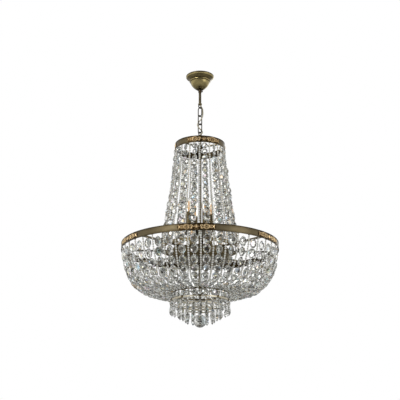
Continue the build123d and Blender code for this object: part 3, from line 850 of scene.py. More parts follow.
@dataclass
class Strings:
    """Strings of one kind, set evenly round the fixture."""

    curve: Curve
    angles: Array
    seed: int
    calm: float = 285.0
    least_sway: float = 9.0
    most_sway: float = 38.0

    def crystals(self, widths: Array, hook: float, depth: float = 0.42, gap: float = 2.4) -> tuple:
        """Crystals down each string with a wire link between neighbours.

        Args:
            widths: each crystal's width; the lengths share the string in the same proportion.
            hook: wire above the first crystal.
            depth: thickness against width.
            gap: what the wire link takes between two crystals.
        Returns:
            The crystals and the links.
        """
        pitch = widths * (self.curve.length - hook) / widths.sum()
        ends = self.curve.at(np.concatenate([[0, hook], hook + np.cumsum(pitch)]))
        way = np.diff(ends, axis=0)
        way /= np.linalg.norm(way, axis=1, keepdims=True)
        top, bottom = ends[1:-1] + way[1:] * gap / 2, ends[2:] - way[1:] * gap / 2
        tall = np.tile(widths, len(self.angles))
        radii = np.tile((top[:, 0] + bottom[:, 0]) / 2, len(self.angles))
        sway = np.random.default_rng(self.seed + 5).uniform(-1, 1, len(radii))
        sway *= np.where(radii > self.calm, self.least_sway, self.most_sway)
        glass = strung(Cut.OCTAGON, self.matrices(top, bottom, tall, tall * depth, sway), self.seed)
        joints = ends[1:]
        half = np.concatenate([way[1:], way[-1:]]) * (gap * 0.9)
        wide = np.full(len(joints) * len(self.angles), 1.0)
        links = copies(wire_link(), self.matrices(joints - half, joints + half, wide, wide))
        return glass, outward(links)

    def beads(self, size: float, pitch: float) -> tuple:
        """Round beads down each string with a thin disc between neighbours.

        Args:
            size: a bead's diameter.
            pitch: distance between two beads' middles, at least.
        Returns:
            The beads and the discs.
        """
        count = int(self.curve.length // pitch)
        centre = self.curve.at((np.arange(count) + 0.5) * self.curve.length / count)
        step = self.curve.at((np.arange(count) + 0.5) * self.curve.length / count + 0.5) - centre
        step /= np.linalg.norm(step, axis=1, keepdims=True)
        wide = np.full(count * len(self.angles), size)
        half = step * size / 2
        glass = strung(Cut.BEAD, self.matrices(centre - half, centre + half, wide, wide), self.seed, BEADS)
        joint = centre + step * pitch / 2
        thin = np.full(count * len(self.angles), 3.2)
        discs = copies(disc(), self.matrices(joint - step * 0.6, joint + step * 0.6, thin, thin))
        return glass, outward(discs)

    def matrices(self, top: Array, bottom: Array, width: Array, depth: Array,
                 sway: Array | float = 0.0) -> Array:
        """Placing matrices for front-plane pairs of points at every angle.

        A sway turns each copy on its own line by so many degrees: across cos s + (line x across) sin s.

        Args:
            top: upper points in the plane of radius and height.
            bottom: lower points, as many.
            width: size of each copy across its string.
            depth: size of each copy square to that.
            sway: degrees that each copy is turned on its line.
        Returns:
            One 3 by 4 matrix for each copy, string by string.
        """
        upper, lower = spread(top, self.angles).reshape(-1, 3), spread(bottom, self.angles).reshape(-1, 3)
        across = np.repeat(polar(1.0, np.asarray(self.angles) + 90.0, 0.0), len(top), 0)
        line = (upper - lower) / np.linalg.norm(upper - lower, axis=1, keepdims=True)
        turn = np.broadcast_to(np.radians(sway), (len(across),))[:, None]
        across = across * np.cos(turn) + np.cross(line, across) * np.sin(turn)
        return between(upper, lower, across, width, depth)


def wire_link() -> Solid:
    """A small flat wire ring between two crystals, one unit high: an oval of square wire.

    Returns:
        The solid.
    """
    turn = np.linspace(0, 2 * math.pi, 8, endpoint=False)
    oval = np.stack([np.sin(turn) * 1.1, np.zeros(8), np.cos(turn) * 0.5], -1)
    body = tube(oval, 0.16, 4, True)
    body.points[:, :2] *= 1.6
    return body


def disc() -> Solid:
    """A thin six-sided disc, one unit high and one wide.

    Returns:
        The solid.
    """
    turn = np.radians(np.arange(6) * 60.0)
    ring = np.stack([np.cos(turn) / 2, np.sin(turn) / 2, np.zeros(6)], -1)
    points = np.concatenate([ring + [0, 0, 0.5], ring - [0, 0, 0.5]])
    sides = [(i, i + 6, (i + 1) % 6 + 6, (i + 1) % 6) for i in range(6)]
    return Solid(points, sides + [tuple(range(6)), tuple(range(11, 5, -1))])


# ---- ceiling fixing and canopy --------------------------------------------------------------------


@dataclass
class CeilingFixing:
    """Bracket, nuts and terminal block inside the canopy, kept as the CAD has them."""

    zinc_nodes: tuple = ("mounting_bracket", "bracket_lock_nuts")

    def build(self) -> None:
        """Dresses the three nodes."""
        for node in self.zinc_nodes:
            dress(node, Finishes.ZINC)
        dress("terminal_block", Finishes.TERMINAL)


@dataclass
class Canopy:
    """Spun bell with a rolled lip and a bead line, the collar under it and its screw."""

    radius: float = 56.0
    depth: float = 61.0
    rod: float = 5.6
    collar: float = 7.1

    def bell(self) -> Solid:
        """Outline of the spun wall, outside down and inside up, turned round.

        Returns:
            The solid.
        """
        r = self.radius
        # The third value of each point is painted light: painted highlights on the lip, the bead line and
        # the bell, painted shade in the cove, the grooves and towards the rod.
        outside = [(r - 1.6, -0.1, .02), (r - 0.2, -1.2, .05), (r, -3.6, .10), (r - 0.3, -6.2, .55),
                   (r - 1.4, -8.0, .95), (r - 3.2, -9.2, .80), (r - 4.6, -10.2, .25),
                   (r - 6.0, -11.6, .30), (r - 8.5, -13.6, .34), (r - 12.0, -17.0, .26),
                   (r - 14.4, -21.0, .16), (r - 14.7, -22.0, .10), (r - 13.8, -22.8, .80),
                   (r - 14.0, -24.4, .85), (r - 15.2, -25.2, .30), (r - 16.6, -26.0, .08),
                   (r - 17.6, -28.0, .50), (r - 18.8, -32.0, .62), (r - 20.8, -36.6, .66),
                   (r - 24.2, -42.4, .60), (r - 29.0, -48.2, .48), (r - 35.0, -53.8, .36),
                   (r - 40.5, -57.9, .28), (r - 44.0, -60.4, .12), (self.rod + 0.9, -self.depth, .05),
                   (self.rod, -self.depth, .05)]
        inside = [(self.rod, -59.4, .2), (r - 44.8, -59.0, .2), (r - 36.0, -52.0, .2),
                  (r - 25.8, -41.0, .2), (r - 20.0, -30.0, .2), (r - 18.2, -24.0, .2),
                  (r - 9.0, -11.8, .2), (r - 3.2, -6.4, .2), (r - 2.4, -0.1, .2)]
        return turned(outside + inside, 128)

    def ferrule(self) -> Solid:
        """Dark collar: a straight band with two grooves and a round foot.

        Returns:
            The solid.
        """
        c, z = self.collar, -self.depth
        outside = [(c - 0.7, z), (c, z - 0.8), (c, z - 3.0), (c - 0.5, z - 3.4), (c, z - 3.8), (c, z - 8.2),
                   (c - 0.5, z - 8.6), (c, z - 9.0), (c - 0.3, z - 10.8), (c - 1.3, z - 12.0)]
        return turned(outside + [(5.4, z - 12.0), (5.4, z)], 48)

    def screw(self) -> Solid:
        """Knurled thumb screw that points to +X: a turned head whose rim ripples, and its shank.

        Returns:
            The solid.
        """
        outline = [(0.0, 11.6), (2.2, 11.4), (2.9, 10.9), (2.9, 8.9), (2.2, 8.4), (1.4, 8.3),
                   (1.4, 5.5), (0.0, 5.5)]
        screw = turned([(max(r, 0.02), z) for r, z in outline[::-1]], 32, closed=False)
        shape = screw.points.copy()
        knurl = 1.0 + 0.05 * (np.arange(len(shape)) % 2) * (np.hypot(shape[:, 0], shape[:, 1]) > 2.5)
        shape[:, :2] *= knurl[:, None]
        screw.points = np.stack([shape[:, 2], shape[:, 0], shape[:, 1] - self.depth - 6.0], -1)
        return screw

    def build(self) -> None:
        """Makes the three pieces of the canopy."""
        piece("canopy_bell", self.bell(), Finishes.SPUN, "canopy", ("ceiling_canopy",))
        piece("canopy_ferrule", self.ferrule(), Finishes.SCREW, "canopy", ("canopy_collar",))
        piece("ferrule_screw", self.screw(), Finishes.SCREW, "canopy", ("collar_set_screw",))


# ---- rod, chain and cable -------------------------------------------------------------------------


@dataclass
class Suspension:
    """Rod, eyes, chain links and the supply cable that weaves through them."""

    wire: float = 1.95
    eye_wire: float = 1.9
    eye: float = 7.6
    link_half: float = 19.75
    link_side: float = 9.75
    link_tops: tuple = (-155.7, -191.2, -226.7)
    eye_z: float = -132.5
    rod_end: float = -121.0
    cable: float = 2.35
    route: tuple = ((0, 0, -9), (0, 0, -40), (0, 0, -80), (0, 0, -108), (0, 0, -129), (9.5, -1.5, -138.6),
                    (12, 0, -158.1), (9.5, 0, -182.5), (-9.5, 0, -203.9), (-9.5, 0, -218.0),
                    (9.5, 0, -239.4), (9.5, -1.5, -247.9), (0, 0, -253.1), (0, 0, -270), (0, 0, -304.9))
    cuts: tuple = (-9.0, -170.3, -193.2, -228.7, -304.9)
    low_eye_z: float = -249.9

    def oval(self, centre: float, degrees: float, half: float, side: float, wire: float) -> Solid:
        """A closed loop of wire: straight sides joined by half rounds, in an upright plane.

        Each half round is side (cos a, sin a) about a point half - side above or below the middle.

        Args:
            centre: height of the loop's middle.
            degrees: angle of its plane round the fixture.
            half: half its height, at the wire's middle.
            side: half its width, at the wire's middle.
            wire: radius of the wire.
        Returns:
            The solid.
        """
        turn = np.linspace(0, math.pi, 17)
        arc = np.stack([side * np.cos(turn), side * np.sin(turn) + half - side], -1)
        flat = np.concatenate([arc, -arc])
        if half <= side:
            flat = np.concatenate([arc[:-1], -arc[:-1]])
        path = polar(flat[:, 0], degrees, flat[:, 1] + centre)
        return tube(path, wire, 16, True)

    def boss(self, centre: float, up: float) -> Solid:
        """The boss of an eye: a turned knob with a groove, its side in twelve faint ripples.

        Args:
            centre: height of the eye's middle.
            up: 1 for a boss above the eye, -1 for one below.
        Returns:
            The solid.
        """
        edge = centre + up * 12.6
        profile = [(3.7, edge), (6.9, edge), (7.8, edge - up * 0.8), (8.0, edge - up * 2.6),
                   (7.4, edge - up * 3.4), (7.8, edge - up * 4.2), (7.2, edge - up * 6.0),
                   (3.7, edge - up * 7.2)]
        return turned(profile, 36, wave=0.012, waves=12)

    def rod_tube(self) -> Solid:
        """Hollow rod with a rolled shoulder and a fine groove at its foot.

        Returns:
            The solid.
        """
        r, end = 5.25, self.rod_end
        outside = [(r - 0.4, -5.0), (r, -5.6), (r, end + 7.0), (r - 0.4, end + 6.6), (r - 0.4, end + 5.8),
                   (r, end + 5.4), (r, end + 0.5), (r - 0.4, end)]
        return turned(outside + [(3.6, end), (3.6, -5.0)], 40)

    def cable_line(self) -> Array:
        """The cable's middle: a smooth spline that has the route's points as its controls.

        Returns:
            Points along the cable, from the terminal block to the stem.
        """
        curve = bpy.data.curves.new("cable_route", "CURVE")
        curve.dimensions = "3D"
        curve.resolution_u = 14
        spline = curve.splines.new("NURBS")
        spline.points.add(len(self.route) - 1)
        spline.points.foreach_set("co", np.array([(*p, 1.0) for p in self.route], float).ravel())
        spline.order_u = 3
        spline.use_endpoint_u = True
        holder = bpy.data.objects.new("cable_route", curve)
        mesh = bpy.data.meshes.new_from_object(holder)
        line = np.zeros(len(mesh.vertices) * 3)
        mesh.vertices.foreach_get("co", line)
        bpy.data.objects.remove(holder)
        bpy.data.curves.remove(curve)
        bpy.data.meshes.remove(mesh)
        return line.reshape(-1, 3)

    def build(self) -> None:
        """Makes rod, eyes and links, then the cable in one length for each body it runs past."""
        piece("hollow_rod", self.rod_tube(), Finishes.ROD, "ceiling_mount", ("down_rod",))
        for name, centre, up, body, node in (("rod", self.eye_z, 1.0, "ceiling_mount", "rod_loop"),
                                             ("fixture", self.low_eye_z, -1.0, "fixture", "top_loop")):
            ring = self.oval(centre, -45.0, self.eye, self.eye, self.eye_wire)
            piece(f"{name}_eye", ring, Finishes.CHAIN, body, (node,))
            piece(f"{name}_boss", self.boss(centre, up), Finishes.BOSS, body)
        for i, centre in enumerate(self.link_tops):
            turn = 45.0 if i % 2 == 0 else -45.0
            link = self.oval(centre, turn, self.link_half, self.link_side, self.wire)
            piece(f"link_{i + 1}_wire", link, Finishes.CHAIN, f"link_{i + 1}", (f"chain_link_{i + 1}",))
        line = self.cable_line()
        line = line[np.concatenate([[True], np.linalg.norm(np.diff(line, axis=0), axis=1) > 0.05])]
        order = ("ceiling_mount", "link_1", "link_2", "link_3", "fixture")
        run = np.concatenate([[0], np.cumsum(np.linalg.norm(np.diff(line, axis=0), axis=1))])
        marks = np.interp([-z for z in self.cuts], -line[:, 2], run)
        for i, (start, end) in enumerate(zip(marks, marks[1:])):
            steps = np.linspace(start, end, max(12, int((end - start) / 1.5)))
            part = np.stack([np.interp(steps, run, line[:, k]) for k in range(3)], -1)
            sheath = tube(part, self.cable, 12, False)
            made = piece(f"cable_{i + 1}", sheath, Finishes.CABLE, order[i], (f"supply_cable_{i + 1}",))
            made.parent = None
            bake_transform(made)


# ---- bands, castings and frame --------------------------------------------------------------------


@dataclass
class Bands:
    """Stem, rings, spiders and the pans that carry the lamps."""

    main: float = 300.0
    top: float = 98.0
    top_z: float = TOP_BAND_TOP
    tray: float = 118.0
    tray_top: float = BAND_TOP - 27.0

    def band(self, radius: float, top_z: float, sides: int) -> Solid:
        """Flat band with a rolled bead along each edge and a faint swell between.

        The outside swells by 0.15 mm between the beads, each about 2.5 mm high.

        Args:
            radius: outside radius.
            top_z: height of the top edge.
            sides: steps round.
        Returns:
            The solid.
        """
        r, low = radius, top_z - BAND_HEIGHT
        # The third value of each point is painted light: painted highlights on the swell and the lower
        # bead, painted shade at the edges and in the grooves beside the beads.
        outside = [(r - 1.0, top_z, .05), (r - 0.2, top_z - 0.3, .1), (r, top_z - 1.1, .25),
                   (r - 0.2, top_z - 2.0, .2), (r - 0.9, top_z - 2.5, .12), (r - 0.8, top_z - 3.6, .40),
                   (r - 0.75, top_z - 8.0, .55), (r - 0.65, top_z - 13.5, .62),
                   (r - 0.75, low + 8.0, .60), (r - 0.8, low + 3.6, .48), (r - 0.9, low + 2.5, .16),
                   (r - 0.2, low + 2.0, .40), (r, low + 1.1, .62), (r - 0.2, low + 0.3, .30),
                   (r - 1.0, low, .08)]
        return turned(outside + [(r - 2.0, low, .08), (r - 2.0, top_z, .2)], sides)

    def hoop(self, radius: float, top_z: float, height: float, sides: int = 120) -> Solid:
        """Narrow strip hoop with rounded edges.

        Args:
            radius: outside radius.
            top_z: height of the top edge.
            height: height of the strip.
            sides: steps round.
        Returns:
            The solid.
        """
        r, low = radius, top_z - height
        outline = [(r - 0.5, top_z), (r, top_z - 0.5), (r, low + 0.5), (r - 0.5, low), (r - 1.5, low),
                   (r - 1.9, low + 0.5), (r - 1.9, top_z - 0.5), (r - 1.5, top_z)]
        return turned(outline, sides)

    def pan(self) -> Solid:
        """Spun pan: rolled rim, straight side, a round turn into a flat floor with one step.

        Returns:
            The solid.
        """
        r, z = self.tray, self.tray_top
        outside = [(r - 1.4, z), (r - 0.2, z - 0.6), (r, z - 2.0), (r - 0.8, z - 3.4),
                   (r - 1.4, z - 12.0), (r - 3.4, z - 22.0), (r - 7.0, z - 30.0), (r - 13.0, z - 36.5),
                   (r - 20.0, z - 39.6), (r - 50.0, z - 39.9), (r - 52.0, z - 38.6), (40.0, z - 38.6),
                   (38.0, z - 39.9), (6.2, z - 39.9)]
        inside = [(6.2, z - 37.4), (r - 21.0, z - 38.0), (r - 14.5, z - 34.5), (r - 8.6, z - 28.0),
                  (r - 5.0, z - 20.0), (r - 3.0, z - 10.0), (r - 2.6, z)]
        return turned(outside + inside, 112)

    def stem(self) -> Solid:
        """Stem: a hollow tube with a small chamfer at each end, in one outline.

        Returns:
            The solid.
        """
        z0, z1 = -261.5, BAND_TOP - 257.0
        outline = [(4.3, z0), (5.6, z0), (6.0, z0 - 0.6), (6.0, -299.8), (6.0, -312.2), (6.0, -655.0)]
        outline += [(6.0, z1 + 0.5), (5.6, z1), (4.3, z1)]
        return turned(outline, 36)

    def lamp_plate(self) -> Solid:
        """Upper lamp pan: a disc with a rolled edge and a boss.

        Returns:
            The solid.
        """
        z = BAND_TOP + 47.5
        outline = [(58.0, z), (60.4, z - 0.4), (61.0, z - 1.5), (60.4, z - 2.7), (58.0, z - 3.0),
                   (13.0, z - 3.0), (11.6, z - 4.4), (11.2, z - 11.0), (9.8, z - 12.9), (6.1, z - 12.9),
                   (6.1, z)]
        return turned(outline, 80)

    def build(self) -> None:
        """Makes the bands, hoops, pans and the stem, and dresses the flat spiders."""
        piece("main_band", self.band(self.main, BAND_TOP, 288), Finishes.BAND, "fixture", ("main_ring",))
        piece("top_band", self.band(self.top, self.top_z, 144), Finishes.BAND, "fixture", ("top_ring",))
        inner = self.hoop(149.6, BAND_TOP - 8.0, 15.0)
        piece("inner_hoop", inner, Finishes.BRASS, "fixture", ("inner_ring",))
        piece("lamp_pan", self.pan(), Finishes.BRASS, "fixture", ("hub_tray",))
        piece("neck_plate", self.lamp_plate(), Finishes.BRASS, "fixture", ("neck_lamp_plate",))
        piece("stem_tube", self.stem(), Finishes.BRASS, "fixture", ("central_stem",))
        for node in ("top_spider", "main_spider", "bottom_finial"):
            dress(node, Finishes.BRASS)


@dataclass
class Castings:
    """Pierced scroll castings on both bands."""

    length: float = 138.0
    height: float = 22.0

    def arc(self, centre: tuple, size: tuple, start: float, end: float, shrink: float = 0.0,
            steps: int = 22) -> Array:
        """Part of an oval or, with shrink, of a volute in the flat.

        Points are centre + size (1 - shrink t) (cos a, sin a), with the angle a from start to end.

        Args:
            centre: middle of the oval.
            size: its half axes.
            start: angle of the first point.
            end: angle of the last point.
            shrink: share of the size that is lost on the way.
            steps: points.
        Returns:
            Points across and up.
        """
        t = np.linspace(0, 1, steps)
        a, fade = np.radians(start + (end - start) * t), 1 - shrink * t
        across = centre[0] + size[0] * fade * np.cos(a)
        return np.stack([across, centre[1] + size[1] * fade * np.sin(a)], -1)

    def half(self) -> list:
        """Ribs of the right half in the flat, as (points, rib radius), from the palmette to the tail.

        Returns:
            One pair of points and rib radii for each rib.
        """
        taper = np.linspace(1.25, 0.7, 22)
        ribs = [
            (self.arc((19.5, 3.6), (5.4, 4.6), 250, -190, 0.75), taper),
            (self.arc((20.5, -4.4), (4.6, 4.0), 110, 520, 0.75), taper),
            (self.arc((35.5, 0.4), (8.8, 8.8), 0, 351), np.full(22, 1.15)),
            (self.arc((35.5, 2.6), (4.0, 3.8), 0, 343), np.full(22, 0.85)),
            (self.arc((35.5, -4.4), (3.4, 2.6), 180, 0), np.full(22, 0.9)),
            (self.arc((52.2, 0.6), (7.6, 4.8), 0, 351), np.full(22, 1.25)),
            (self.arc((52.2, 0.6), (2.8, 1.5), 0, 330), np.full(22, 0.9)),
            (self.arc((71.0, 0.4), (9.0, 9.4), 128, 232), 0.7 + 1.1 * np.sin(np.linspace(0.1, 3.0, 22))),
        ]
        ribs += [(np.linspace([x, -low], [x, high], 8), np.full(8, size)) for x, low, high, size in (
            (26.2, 6.5, 7.5, 0.8), (44.8, 7.0, 8.0, 1.0), (35.5, 1.6, -0.6, 0.9), (60.4, 1.2, 2.2, 0.9))]
        return ribs

    def lines(self) -> list:
        """Both halves' ribs and the palmette between them: a fan of seven leaves and a base scroll.

        Returns:
            One pair of points and rib radii for each rib.
        """
        ribs = self.half()
        ribs += [(flat * [-1.0, 1.0], rib) for flat, rib in self.half()]
        leaf = 0.35 + np.sin(np.linspace(0.35, 2.9, 10))
        root = np.array([0.0, -4.6])
        for turn in np.radians(np.linspace(-66, 66, 7)):
            way = np.array([math.sin(turn), math.cos(turn)])
            ribs.append((np.linspace(root, root + way * 13.0, 10), leaf))
        for side in (-1.0, 1.0):
            ribs.append((self.arc((0.0, -6.2), (7.5 * side, 3.2), 200, 340, 0.0, 12), np.full(12, 1.0)))
        return ribs

    def casting(self, radius: float, degrees: float, middle: float) -> Solid:
        """All ribs bent on to a band: an x in the flat becomes the angle x / radius.

        Args:
            radius: radius of the band.
            degrees: where its middle is, round the fixture.
            middle: height of the band's middle.
        Returns:
            The solid.
        """
        ribs = []
        for flat, rib in self.lines():
            turn = degrees + np.degrees(flat[:, 0] / radius)
            path = polar(radius + 0.2, turn, middle + flat[:, 1])
            body = tube(path, rib, 6, False)
            radial = np.hypot(body.points[:, 0], body.points[:, 1]) - radius
            body.points[:, :2] *= ((radius + radial * 1.25 - 0.2) / (radius + radial))[:, None]
            body.height = np.clip(radial / 1.3, 0, 1)
            ribs.append(body)
        return gathered(ribs)

    def ground(self, radius: float, degrees: float, middle: float) -> Solid:
        """Thin dark plate behind the ribs: a lens on the band, two sheets joined at their edge.

        Args:
            radius: radius of the band.
            degrees: where its middle is, round the fixture.
            middle: height of the band's middle.
        Returns:
            The solid.
        """
        half, tall = self.length / 2 + 1.0, self.height / 2 - 0.6
        u = np.linspace(-1, 1, 49)[:, None]
        lens = tall * (1 - np.abs(u) ** 14) ** 0.5 * (0.94 - 0.06 * np.cos(u * 12)) + 0.05
        front = np.array([1.0, 0.5, 0.0, -0.5, -1.0])[None, :]
        turn = degrees + np.degrees(u * half / radius)
        outer = polar(radius + 0.45 + 0 * front, turn, middle + lens * front)
        inner = polar(radius - 0.4 + 0 * front, turn, middle + lens * front)
        rings = np.concatenate([outer, inner[:, ::-1]], 1)
        faces = grid_faces(49, 10, False, True) + [tuple(range(10))[::-1], tuple(range(480, 490))]
        solid = Solid(rings.reshape(-1, 3), faces)
        solid.height = np.zeros(len(solid.points))
        return outward(solid)

    def build(self) -> None:
        """Makes three castings on the top band and six on the main one."""
        for name, node, count, first, radius, top in (
            ("main_castings", "main_ring_ornaments", 6, -2.4, 300.0, BAND_TOP),
            ("top_castings", "top_ring_ornaments", 3, 9.0, 98.0, TOP_BAND_TOP),
        ):
            made = []
            for k in range(count):
                place = (radius, first + 360 / count * k, top - BAND_HEIGHT / 2)
                made += [self.casting(*place), self.ground(*place)]
            piece(name, gathered(made), Finishes.GILT, "fixture", (node,))


# ---- lamps ----------------------------------------------------------------------------------------


@dataclass
class Lamp:
    """One candle lamp, with the middle and the height of its sleeve's top edge.

    Its number is also the phase of its sleeve's drips.
    """

    number: int
    x: float
    y: float
    top: float
    length: float
    radius: float = 14.6
    height: float = 58.0

    def drip_pan(self) -> Solid:
        """Drip pan with a scalloped rim: the outline is turned and its radius ripples ten times.

        Returns:
            The solid.
        """
        x, y, top = self.x, self.y, self.top - self.length
        outline = [(16.2, top), (16.0, top - 0.9), (13.5, top - 2.2), (10.5, top - 4.0),
                   (9.2, top - 6.0), (8.9, top - 7.0), (6.0, top - 7.0), (6.0, top - 5.6),
                   (9.2, top - 3.2), (12.6, top - 1.2), (15.4, top)]
        return turned(outline, 60, (x, y), wave=0.02, waves=10)

    def sleeve(self) -> Solid:
        """Card sleeve with wax drips: the outside swells by a sum of two cosines round and down.

        Returns:
            The solid.
        """
        x, y, top = self.x, self.y, self.top
        rows = 18
        z = np.linspace(top, top - self.length, rows)
        outside = turned([(10.6, h) for h in z] + [(9.7, h) for h in z[::-1]], 32, (x, y))
        shape = outside.points
        turn = np.arctan2(shape[:, 1] - y, shape[:, 0] - x)
        down = (top - shape[:, 2]) / self.length
        waves = np.cos(turn * 3 + self.number) + 0.6 * np.cos(turn * 5 - 2 * self.number)
        swell = np.clip(waves - 2.2 * down, 0, 1) * 0.045
        outer = np.hypot(shape[:, 0] - x, shape[:, 1] - y) > 10.0
        shape[outer, :2] += (shape[outer, :2] - [x, y]) * (swell[outer, None] * 0.8)
        return outside

    def holder(self) -> Solid:
        """Lampholder: a tube with a stepped lip.

        Returns:
            The solid.
        """
        top = self.top
        outline = [(9.1, top - 1.6), (9.3, top - 2.2), (9.3, top - 28.0), (8.6, top - 29.0),
                   (7.4, top - 29.0), (7.4, top - 1.2), (8.6, top - 1.2)]
        return turned(outline, 24, (self.x, self.y))

    def glass(self) -> Solid:
        """Clear candle bulb: an outer flame shape and an inner one that faces the hollow.

        It is radius sin(pi (0.14 + 0.86 t^0.82))^0.75 (1 - 0.16 t) wide at the share t of its height.

        Returns:
            Both faces of the bulb's wall.
        """
        t = np.linspace(0, 1, 22)
        r = self.radius * np.sin(math.pi * (0.14 + 0.86 * t ** 0.82)) ** 0.75 * (1 - 0.16 * t)
        walls = []
        for wall, rise, share in ((0.0, 0.0, 0.998), (0.8, 0.9, 0.968)):
            heights = self.top + 0.2 + rise + self.height * t * share
            profile = np.stack([np.maximum(r - wall, 0.12), heights], -1)
            walls.append(turned(profile.tolist()[::-1], 28, (self.x, self.y), closed=False))
        walls[1].faces = [tuple(reversed(f)) for f in walls[1].faces]
        return walls[0].joined(walls[1])

    def filament(self) -> Solid:
        """Glass mount with four warm filament rods that lean in towards the axis.

        Returns:
            The solid.
        """
        x, y, top = self.x, self.y, self.top
        mount = [(0.1, top + 22.0), (1.6, top + 21.0), (2.2, top + 12.0), (4.6, top + 2.2),
                 (0.1, top + 1.6)]
        parts = [turned(mount, 16, (x, y), closed=False)]
        bow = [[0, 0, 0], [.1, 0, 0], [.1, 0, 0], [0, 0, 0]]
        for turn in np.radians(np.arange(4) * 90.0 + 30.0):
            foot = np.array([x + 4.8 * math.cos(turn), y + 4.8 * math.sin(turn), top + 12.0])
            tip = np.array([x + 2.4 * math.cos(turn), y + 2.4 * math.sin(turn), top + 44.0])
            parts.append(tube(np.linspace(foot, tip, 4) + bow, 1.15, 8, False))
        return gathered(parts)

    def cap(self) -> Solid:
        """Screw cap: a thread as rounded ridges every 2.8 mm and a contact at its foot.

        Returns:
            The solid.
        """
        top = self.top
        z = np.linspace(0, 17.0, 40)
        r = 6.35 + 0.32 * np.cos(z / 2.8 * 2 * math.pi)
        profile = [(6.7, top + 0.6), (6.7, top)] + [(float(a), float(top - 0.8 - b)) for a, b in zip(r, z)]
        profile += [(5.4, top - 18.8), (3.0, top - 20.4), (1.8, top - 21.8)]
        return turned(profile, 24, (self.x, self.y), closed=False)


@dataclass
class Lamps:
    """Rounds of candle lamps in the bowl and in the neck."""

    bowl_radius: float = 84.0
    bowl_first: float = 24.75
    bowl_top: float = BAND_TOP - 8.0
    bowl_sleeve: float = 50.0
    neck_radius: float = 47.0
    neck_first: float = 24.0
    neck_top: float = BAND_TOP + 124.5
    neck_sleeve: float = 70.0

    def places(self) -> list:
        """Every lamp at its place, the bowl's first.

        Returns:
            The lamps.
        """
        bowl = polar(self.bowl_radius, self.bowl_first + 45.0 * np.arange(8), self.bowl_top)
        neck = polar(self.neck_radius, self.neck_first + 90.0 * np.arange(4), self.neck_top)
        stands = [(*p, self.bowl_sleeve) for p in bowl] + [(*p, self.neck_sleeve) for p in neck]
        return [Lamp(i, *stand) for i, stand in enumerate(stands)]

    def build(self) -> None:
        """Makes the shared pieces of all lamps and each bulb on its own body."""
        shared: dict = {"pans": [], "bowl": [], "neck": [], "holders": []}
        for lamp in self.places():
            parts = {"pans": lamp.drip_pan(), "holders": lamp.holder(),
                     "bowl" if lamp.number < 8 else "neck": lamp.sleeve()}
            for key, part in parts.items():
                shared[key].append(part)
            body = f"bulb_{lamp.number + 1}"
            piece(f"{body}_glass", lamp.glass(), Finishes.BULB, body, (body,))
            piece(f"{body}_filament", lamp.filament(), Finishes.GLOW, body)
            piece(f"{body}_cap", lamp.cap(), Finishes.WIRE, body)
        solids = {key: gathered(parts) for key, parts in shared.items()}
        piece("drip_pans", solids["pans"], Finishes.BRASS, "fixture", ("drip_cups",))
        piece("bowl_sleeves", solids["bowl"], Finishes.SLEEVE, "fixture", ("bowl_candle_sleeves",))
        piece("neck_sleeves", solids["neck"], Finishes.SLEEVE, "fixture", ("neck_candle_sleeves",))
        piece("lamp_holders", solids["holders"], Finishes.HOLDER, "fixture", ("lampholders",))


# ---- strands --------------------------------------------------------------------------------------


@dataclass
class Strands:
    """A round of crystal strings with a string of beads between each two."""

    name: str
    strands: int
    crystals: int
    start: tuple
    hook: float
    bead: float
    pitch: float
    turns: tuple
    seeds: tuple

    def hang(self, widths: Array, cut_line: Curve, bead_line: Curve) -> None:
        """Makes the crystals, the beads and the wire between them.

        Args:
            widths: each crystal's width.
            cut_line: line of the crystal strings.
            bead_line: line of the bead strings.
        """
        step = 360 / self.strands
        places = np.arange(self.strands) * step
        cut_turn, bead_turn = self.turns
        cut = Strings(cut_line, places + step / 2 + cut_turn, self.seeds[0])
        glass, links = cut.crystals(widths, self.hook)
        node = f"{self.name}_crystal_strands"
        piece(f"{self.name}_crystals", glass, Finishes.CRYSTAL, "fixture", (node,), smooth=False)
        piece(f"{self.name}_links", links, Finishes.WIRE, "fixture")
        beads, discs = Strings(bead_line, places + bead_turn, self.seeds[1]).beads(self.bead, self.pitch)
        piece(f"{self.name}_beads", beads, Finishes.BEAD, "fixture", (f"{self.name}_bead_strands",))
        piece(f"{self.name}_discs", discs, Finishes.WIRE, "fixture")


@dataclass
class Neck(Strands):
    """Strands that flare from the top band to the inner hoop."""

    name: str = "neck"
    strands: int = 16
    crystals: int = 14
    start: tuple = (97.0, BAND_TOP + 383.0)
    hook: float = 1.5
    bead: float = 7.9
    pitch: float = 9.0
    turns: tuple = (-0.6, -1.0)
    seeds: tuple = (11, 12)
    end: tuple = (149.0, BAND_TOP - 8.0)
    flare: float = 1.37
    widths: tuple = (23.0, 29.0)

    def curve(self) -> Curve:
        """Radius grows from start to end with the power flare of the share of the height.

        Returns:
            The string's line.
        """
        t = np.linspace(0, 1, 600)[:, None]
        line = np.concatenate([self.start[0] + (self.end[0] - self.start[0]) * t**self.flare,
                               self.start[1] + (self.end[1] - self.start[1]) * t], 1)
        return Curve(line)

    def build(self) -> None:
        """Makes crystal strands and the bead strands between them."""
        self.hang(np.linspace(*self.widths, self.crystals), self.curve(), self.curve())


